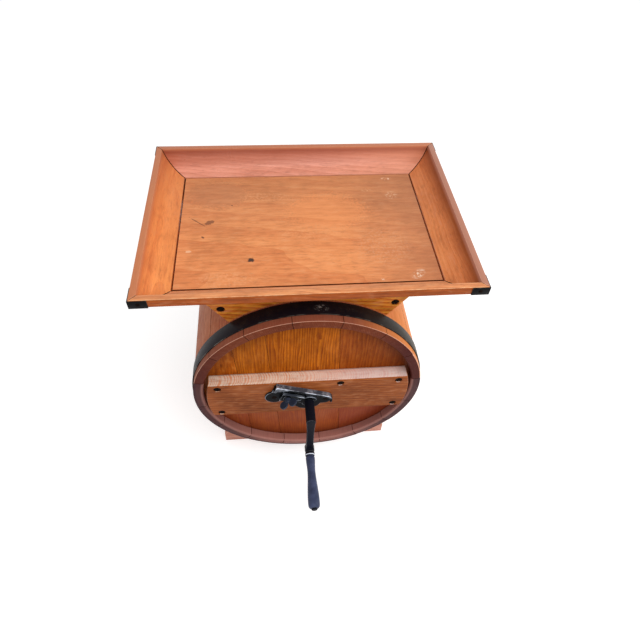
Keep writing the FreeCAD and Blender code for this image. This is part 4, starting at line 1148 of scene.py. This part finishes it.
def turned(name: str, rings: Sequence[Ring], axis_z: float, sides: int) -> Piece:
    """Turns a piece whose axis runs along Y: a disc is pushed out ring by ring.

    Args:
        name: The piece's name.
        rings: The rings in order.
        axis_z: The height of the axis, in millimetres.
        sides: Points round.

    Returns:
        A closed piece at the origin.
    """
    first = rings[0]
    deselect_all()
    bpy.ops.mesh.primitive_circle_add(
        vertices=sides, radius=first.radius * MM, fill_type="NGON",
        location=millimetres((0, first.along, axis_z)), rotation=(math.pi / 2, 0, 0),
    )
    piece = bpy.context.view_layer.objects.active
    piece.name = name
    settle(piece)
    with editing(piece):
        bpy.ops.mesh.select_all(action="SELECT")
        for before, ring in pairwise(rings):
            step = (0, (ring.along - before.along) * MM, 0)
            bpy.ops.mesh.extrude_region_move(TRANSFORM_OT_translate={"value": step})
            grow = ring.radius / before.radius
            centre = millimetres((0, ring.along, axis_z))
            bpy.ops.transform.resize(value=(grow, grow, grow), center_override=centre)
        bpy.ops.mesh.select_all(action="SELECT")
        bpy.ops.mesh.remove_doubles(threshold=0.005 * MM)
        bpy.ops.mesh.normals_make_consistent(inside=False)
    return piece


@dataclass
class Grip:
    """The turned wooden grip that spins on the crank's spindle.

    Attributes:
        start: Where it begins on its axis.
        axis_z: The height of its axis.
        ferrule: The length of the iron band at its start.
        profile: Its rings, measured from its start towards the hand.
    """

    start: float = -150.275
    axis_z: float = 140.0
    ferrule: float = 8.0
    profile: tuple[Ring, ...] = (
        Ring(0, 7.6), Ring(0.4, 8.3), Ring(1.2, 8.6), Ring(5.8, 8.85), Ring(6.9, 8.8), Ring(7.5, 8.4),
        Ring(7.8, 7.4), Ring(8, 6.6), Ring(9.4, 6.6), Ring(9.7, 7.4), Ring(10.3, 8.05), Ring(11.5, 8.4),
        Ring(14, 8.5), Ring(19, 8.3), Ring(25, 7.85), Ring(31, 7.45), Ring(38, 7.25), Ring(46, 7.5),
        Ring(55, 8.15), Ring(64, 8.9), Ring(73, 9.6), Ring(81, 10.15), Ring(88, 10.42), Ring(93, 10.48),
        Ring(97.5, 10.4), Ring(100.5, 10.1), Ring(102.5, 9.45), Ring(104, 8.2), Ring(104.8, 6.6),
        Ring(105, 5.2),
    )

    def build(self) -> None:
        """Makes the grip: its ferrule is painted iron with a rubbed band in the middle."""
        rings = [Ring(self.start - ring.along, ring.radius) for ring in self.profile]
        piece = turned("crank_grip_turning", rings, self.axis_z, 72)
        coat(piece, GRIP_PAINT_AND_REFLECTION, CRANK_IRON, CAST_RUBBED_AND_HIGHLIT)
        for slot, reach in ((1, self.ferrule), (2, self.ferrule - 0.4), (1, self.ferrule - 3)):
            paint(piece, slot, lambda face: face.calc_center_median().y > (self.start - reach) * MM)
        smooth_by_angle(piece, 60)
        hand_over(piece, "grip", "black_painted_wood", "crank_grip")


@dataclass(frozen=True)
class Seat:
    """Where a screw's head sits: the middle of its top, the way it faces and the turn of its slot."""

    place: Point
    faces: Point
    slot_turn: float


@dataclass
class Screws:
    """Slotted screws.

    Attributes:
        name: The piece's name.
        node: The CAD node they stand for.
        radius: The head's radius.
        depth: How far the head's cone goes in.
        shank: The shank's radius.
        length: The shank's length under the head.
        dome: How far the head stands up in its middle.
        seats: Where they are.
    """

    name: str
    node: str
    radius: float
    depth: float
    shank: float
    length: float
    dome: float
    seats: list[Seat]

    def build(self) -> None:
        """Makes one screw, and copies it to every seat."""
        model = self.one()
        parts = copies(model, len(self.seats))
        bpy.data.objects.remove(model)
        for part, seat in zip(parts, self.seats):
            way = Vector(seat.faces).to_track_quat("-Y", "Z").to_matrix().to_4x4()
            spin = Matrix.Rotation(math.radians(seat.slot_turn), 4, "Y")
            part.matrix_world = Matrix.Translation(millimetres(seat.place)) @ way @ spin
        piece = joined(self.name, parts)
        coat(piece, SCREW_IRON)
        smooth_by_angle(piece, 35)
        hand_over(piece, "barrel", "screw_iron", self.node)

    def one(self) -> Piece:
        """Turns one screw that faces -Y at the origin, and saws its slot.

        Returns:
            The model screw.
        """
        rings = [
            Ring(self.depth + self.length, self.shank),
            Ring(self.depth, self.shank),
            Ring(0.3, self.radius),
            Ring(0, self.radius),
            Ring(-self.dome * 0.6, self.radius * 0.75),
            Ring(-self.dome * 0.9, self.radius * 0.45),
            Ring(-self.dome, self.radius * 0.2),
        ]
        piece = turned(f"{self.name}_model", rings, 0, 24)
        half = self.radius * 0.11 * MM
        with editing(piece):
            for side in (-1, 1):
                bpy.ops.mesh.select_all(action="SELECT")
                bpy.ops.mesh.bisect(plane_co=(0, 0, side * half), plane_no=(0, 0, 1))
            pick(piece, lambda face: self.in_slot(face, half))
            deep = (0, self.radius * 0.2 * MM, 0)
            bpy.ops.mesh.extrude_region_move(TRANSFORM_OT_translate={"value": deep})
        return piece

    def in_slot(self, face: Face, half: float) -> bool:
        """Whether a face of the head's top lies between the slot's two cuts."""
        middle = face.calc_center_median()
        return abs(middle.z) < half and face.normal.y < -0.4 and middle.y < 0.2 * MM


@dataclass
class Fasteners:
    """All the churn's screws.

    Attributes:
        bar_face: How far the front bar's face is along Y.
        rear_face: How far the rear bar's face is along Y.
        saddle_inset: How far the saddles' faces lie behind the bars'.
        sunk: How far the screws' heads are sunk in the wood.
        bar_spots: The screws on the right half of a bar, across and up from the axis.
        saddle_spot: The screw on the right half of a saddle.
        lock_spots: The screws of the lock plate, along its tilt and square to it.
        plate_depth: How far the lock plate's face stands off the bar.
        flange_depth: How far the rear pivot's face stands off its bar.
        pivot_radius: How far the rear pivot's three screws are from the axis.
        iron_height: The height of the screws in the corner irons.
        iron_inset: How far they are from the tray's corners.
        iron_stand: How far their heads stand off the tray.
        tray_half: Half the tray's width.
        tray_edges: The tray's front and rear faces along Y.
    """

    bar_face: float = -94.625
    rear_face: float = 246.375
    saddle_inset: float = 50.0
    sunk: float = 1.5
    bar_spots: tuple[tuple[float, float], ...] = ((155.87, 38), (155.87, -38), (54, 38))
    saddle_spot: tuple[float, float] = (135.99, 187.0)
    lock_spots: tuple[tuple[float, float], ...] = ((-60, -14), (28.5, 8))
    plate_depth: float = 4
    flange_depth: float = 5
    pivot_radius: float = 18
    iron_height: float = 517.15
    iron_inset: float = 12.25
    iron_stand: float = 1.3
    tray_half: float = 245
    tray_edges: tuple[float, float] = (-104.125, 255.875)

    def build(self) -> None:
        """Makes the wood screws, the lock's screws and the small ones in the corner irons."""
        Screws("frame_screw_set", "frame_screws", 6.4, 4, 2.6, 26, 0.5, self.frame_seats()).build()
        Screws("lock_screw_set", "lock_screws", 4.9, 3, 2.3, 14, 0.4, self.lock_seats()).build()
        Screws("corner_screw_set", "corner_screws", 3.1, 1.0, 1.5, 7, 0.9, self.corner_seats()).build()

    def frame_seats(self) -> list[Seat]:
        """Seats of the screws through the bars and saddles."""
        seats = []
        turn = 20
        for face, way in ((self.bar_face, -1), (self.rear_face, 1)):
            spots = [(*spot, face) for spot in self.bar_spots]
            spots.append((*self.saddle_spot, face - way * self.saddle_inset))
            for side in (-1, 1):
                for across, up, along in spots:
                    turn += 47
                    place = (side * across, along - way * self.sunk, AXIS_Z + up)
                    seats.append(Seat(place, (0, way, 0), turn))
        return seats

    def lock_seats(self) -> list[Seat]:
        """Seats of the screws through the lock plate and the rear pivot."""
        seats = []
        for along, up in self.lock_spots:
            place_x = along * math.cos(LOCK_TILT) + up * math.sin(LOCK_TILT)
            place_z = AXIS_Z + up * math.cos(LOCK_TILT) - along * math.sin(LOCK_TILT)
            seats.append(Seat((place_x, self.bar_face - self.plate_depth, place_z), (0, -1, 0), 35 + along))
        for index in range(3):
            angle = math.radians(120 * index)
            across, up = (self.pivot_radius * part for part in (math.sin(angle), math.cos(angle)))
            place = (across, self.rear_face + self.flange_depth, AXIS_Z + up)
            seats.append(Seat(place, (0, 1, 0), 25 + 50 * index))
        return seats

    def corner_seats(self) -> list[Seat]:
        """Seats of the screws in the corner irons."""
        seats = []
        for side in (-1, 1):
            for edge, way in zip(self.tray_edges, (-1, 1)):
                turn = 40 * side + 25 * way
                across = side * (self.tray_half - self.iron_inset)
                front = (across, edge + way * self.iron_stand, self.iron_height)
                out = side * (self.tray_half + self.iron_stand)
                flank = (out, edge - way * self.iron_inset, self.iron_height)
                seats += [Seat(front, (0, way, 0), turn), Seat(flank, (side, 0, 0), turn + 60)]
        return seats


@dataclass
class Inside:
    """The dasher and the leather washers, seen when the lid is off."""

    def build(self) -> None:
        """Makes the pieces inside the barrel."""
        nodes = ["dasher_shaft", *(f"dasher_blade_{index}" for index in range(1, 5))]
        for seed, node in enumerate(nodes, start=80):
            Board(node, BARE_WOOD, seed, "bare_wood", body="crank").build()
        washers = copy_of("leather_washers", "leather_washer_rings")
        coat(washers, LEATHER)
        smooth_by_angle(washers)
        hand_over(washers, "barrel", "leather", "leather_washers")


@dataclass(frozen=True)
class Viewpoint:
    """The camera's place and aim.

    Attributes:
        place: Where it is, in millimetres.
        yaw: How far it looks to the right of +Y, in radians.
        pitch: How far it looks down.
        roll: How far it is rolled.
        lens: Its focal length on a 36 mm sensor.
    """

    place: Point = (-54.75, -573.05, 1040.96)
    yaw: float = 0.1373
    pitch: float = 0.8796
    roll: float = 0.0625
    lens: float = 29.26

    def build(self) -> None:
        """Makes the camera and sets it."""
        flat = math.cos(self.pitch)
        ahead = Vector((math.sin(self.yaw) * flat, math.cos(self.yaw) * flat, -math.sin(self.pitch)))
        level = Vector((math.cos(self.yaw), -math.sin(self.yaw), 0))
        above = level.cross(ahead)
        right = math.cos(self.roll) * level + math.sin(self.roll) * above
        up = -math.sin(self.roll) * level + math.cos(self.roll) * above
        data = bpy.data.cameras.new("photograph")
        data.lens = self.lens
        data.sensor_width = 36
        data.clip_start = 0.01
        camera = shown("photograph", data)
        turn = Matrix((right, up, -ahead)).transposed().to_4x4()
        camera.matrix_world = Matrix.Translation(millimetres(self.place)) @ turn
        bpy.context.scene.camera = camera


@dataclass
class Studio:
    """A pale floor, a white surround and soft lamps.

    Attributes:
        fill: The strength of the light from all sides.
        lamps: Each lamp's name, place in metres, size and power.
        aim: Where they point, in metres.
    """

    fill: float = 0.72
    lamps: tuple[tuple[str, Point, float, float], ...] = (
        ("overhead", (0.5, -1.5, 2.3), 1.8, 26.0),
        ("window", (2.2, -0.3, 1.3), 1.3, 18.0),
    )
    aim: Point = (0, 0.05, 0.3)

    def build(self) -> None:
        """Makes the floor, the lamps and the world."""
        self.floor()
        for name, place, size, power in self.lamps:
            data = bpy.data.lights.new(name, "AREA")
            data.size = size
            data.energy = power
            turn = (Vector(self.aim) - Vector(place)).to_track_quat("-Z", "Y").to_matrix().to_4x4()
            shown(name, data).matrix_world = Matrix.Translation(place) @ turn
        self.surround()

    @staticmethod
    def seen(nodes: Nodes) -> Socket:
        """Whether a ray is one that shows the background: from the camera, a reflection or a refraction."""
        path = nodes.add("LightPath").outputs
        ray = path["Is Camera Ray"]
        for kind in ("Is Glossy Ray", "Is Transmission Ray"):
            ray = nodes.out("Math", {0: ray, 1: path[kind]}, operation="MAXIMUM")
        return ray

    def floor(self) -> None:
        """A wide white floor that keeps the churn's shadow."""
        deselect_all()
        bpy.ops.mesh.primitive_plane_add(size=40, location=(0, 0, 0))
        floor = bpy.context.view_layer.objects.active
        floor.name = "floor"
        material = bpy.data.materials.new("floor_white")
        nodes = Nodes.of(material)
        matt = nodes.out("BsdfDiffuse", {"Color": (0.8, 0.8, 0.8, 1)})
        lifted = nodes.out("AddShader", {0: matt, 1: nodes.out("Emission", {"Strength": 0.5})})
        mixed = nodes.out("MixShader", {0: self.seen(nodes), 1: matt, 2: lifted})
        nodes.add("OutputMaterial", {"Surface": mixed})
        floor.data.materials.append(material)

    def surround(self) -> None:
        """The world: even light on the churn, and white where it is seen."""
        world = bpy.data.worlds.new("surround")
        bpy.context.scene.world = world
        nodes = Nodes.of(world)
        soft = nodes.out("Background", {"Strength": self.fill})
        white = nodes.out("Background", {"Color": (1, 1, 1, 1), "Strength": 1.0})
        mixed = nodes.out("MixShader", {0: self.seen(nodes), 1: soft, 2: white})
        nodes.add("OutputWorld", {"Surface": mixed})


def main() -> None:
    """Builds the churn's looks in order."""
    logging.basicConfig(level=logging.INFO, format="%(message)s")
    bpy.context.scene.view_settings.view_transform = "Standard"
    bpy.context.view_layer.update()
    for part in (Viewpoint, Studio, Barrel, Cradle, Tray, CrankLock, Grip, Fasteners, Inside):
        part().build()


if __name__ == "__main__":
    main()
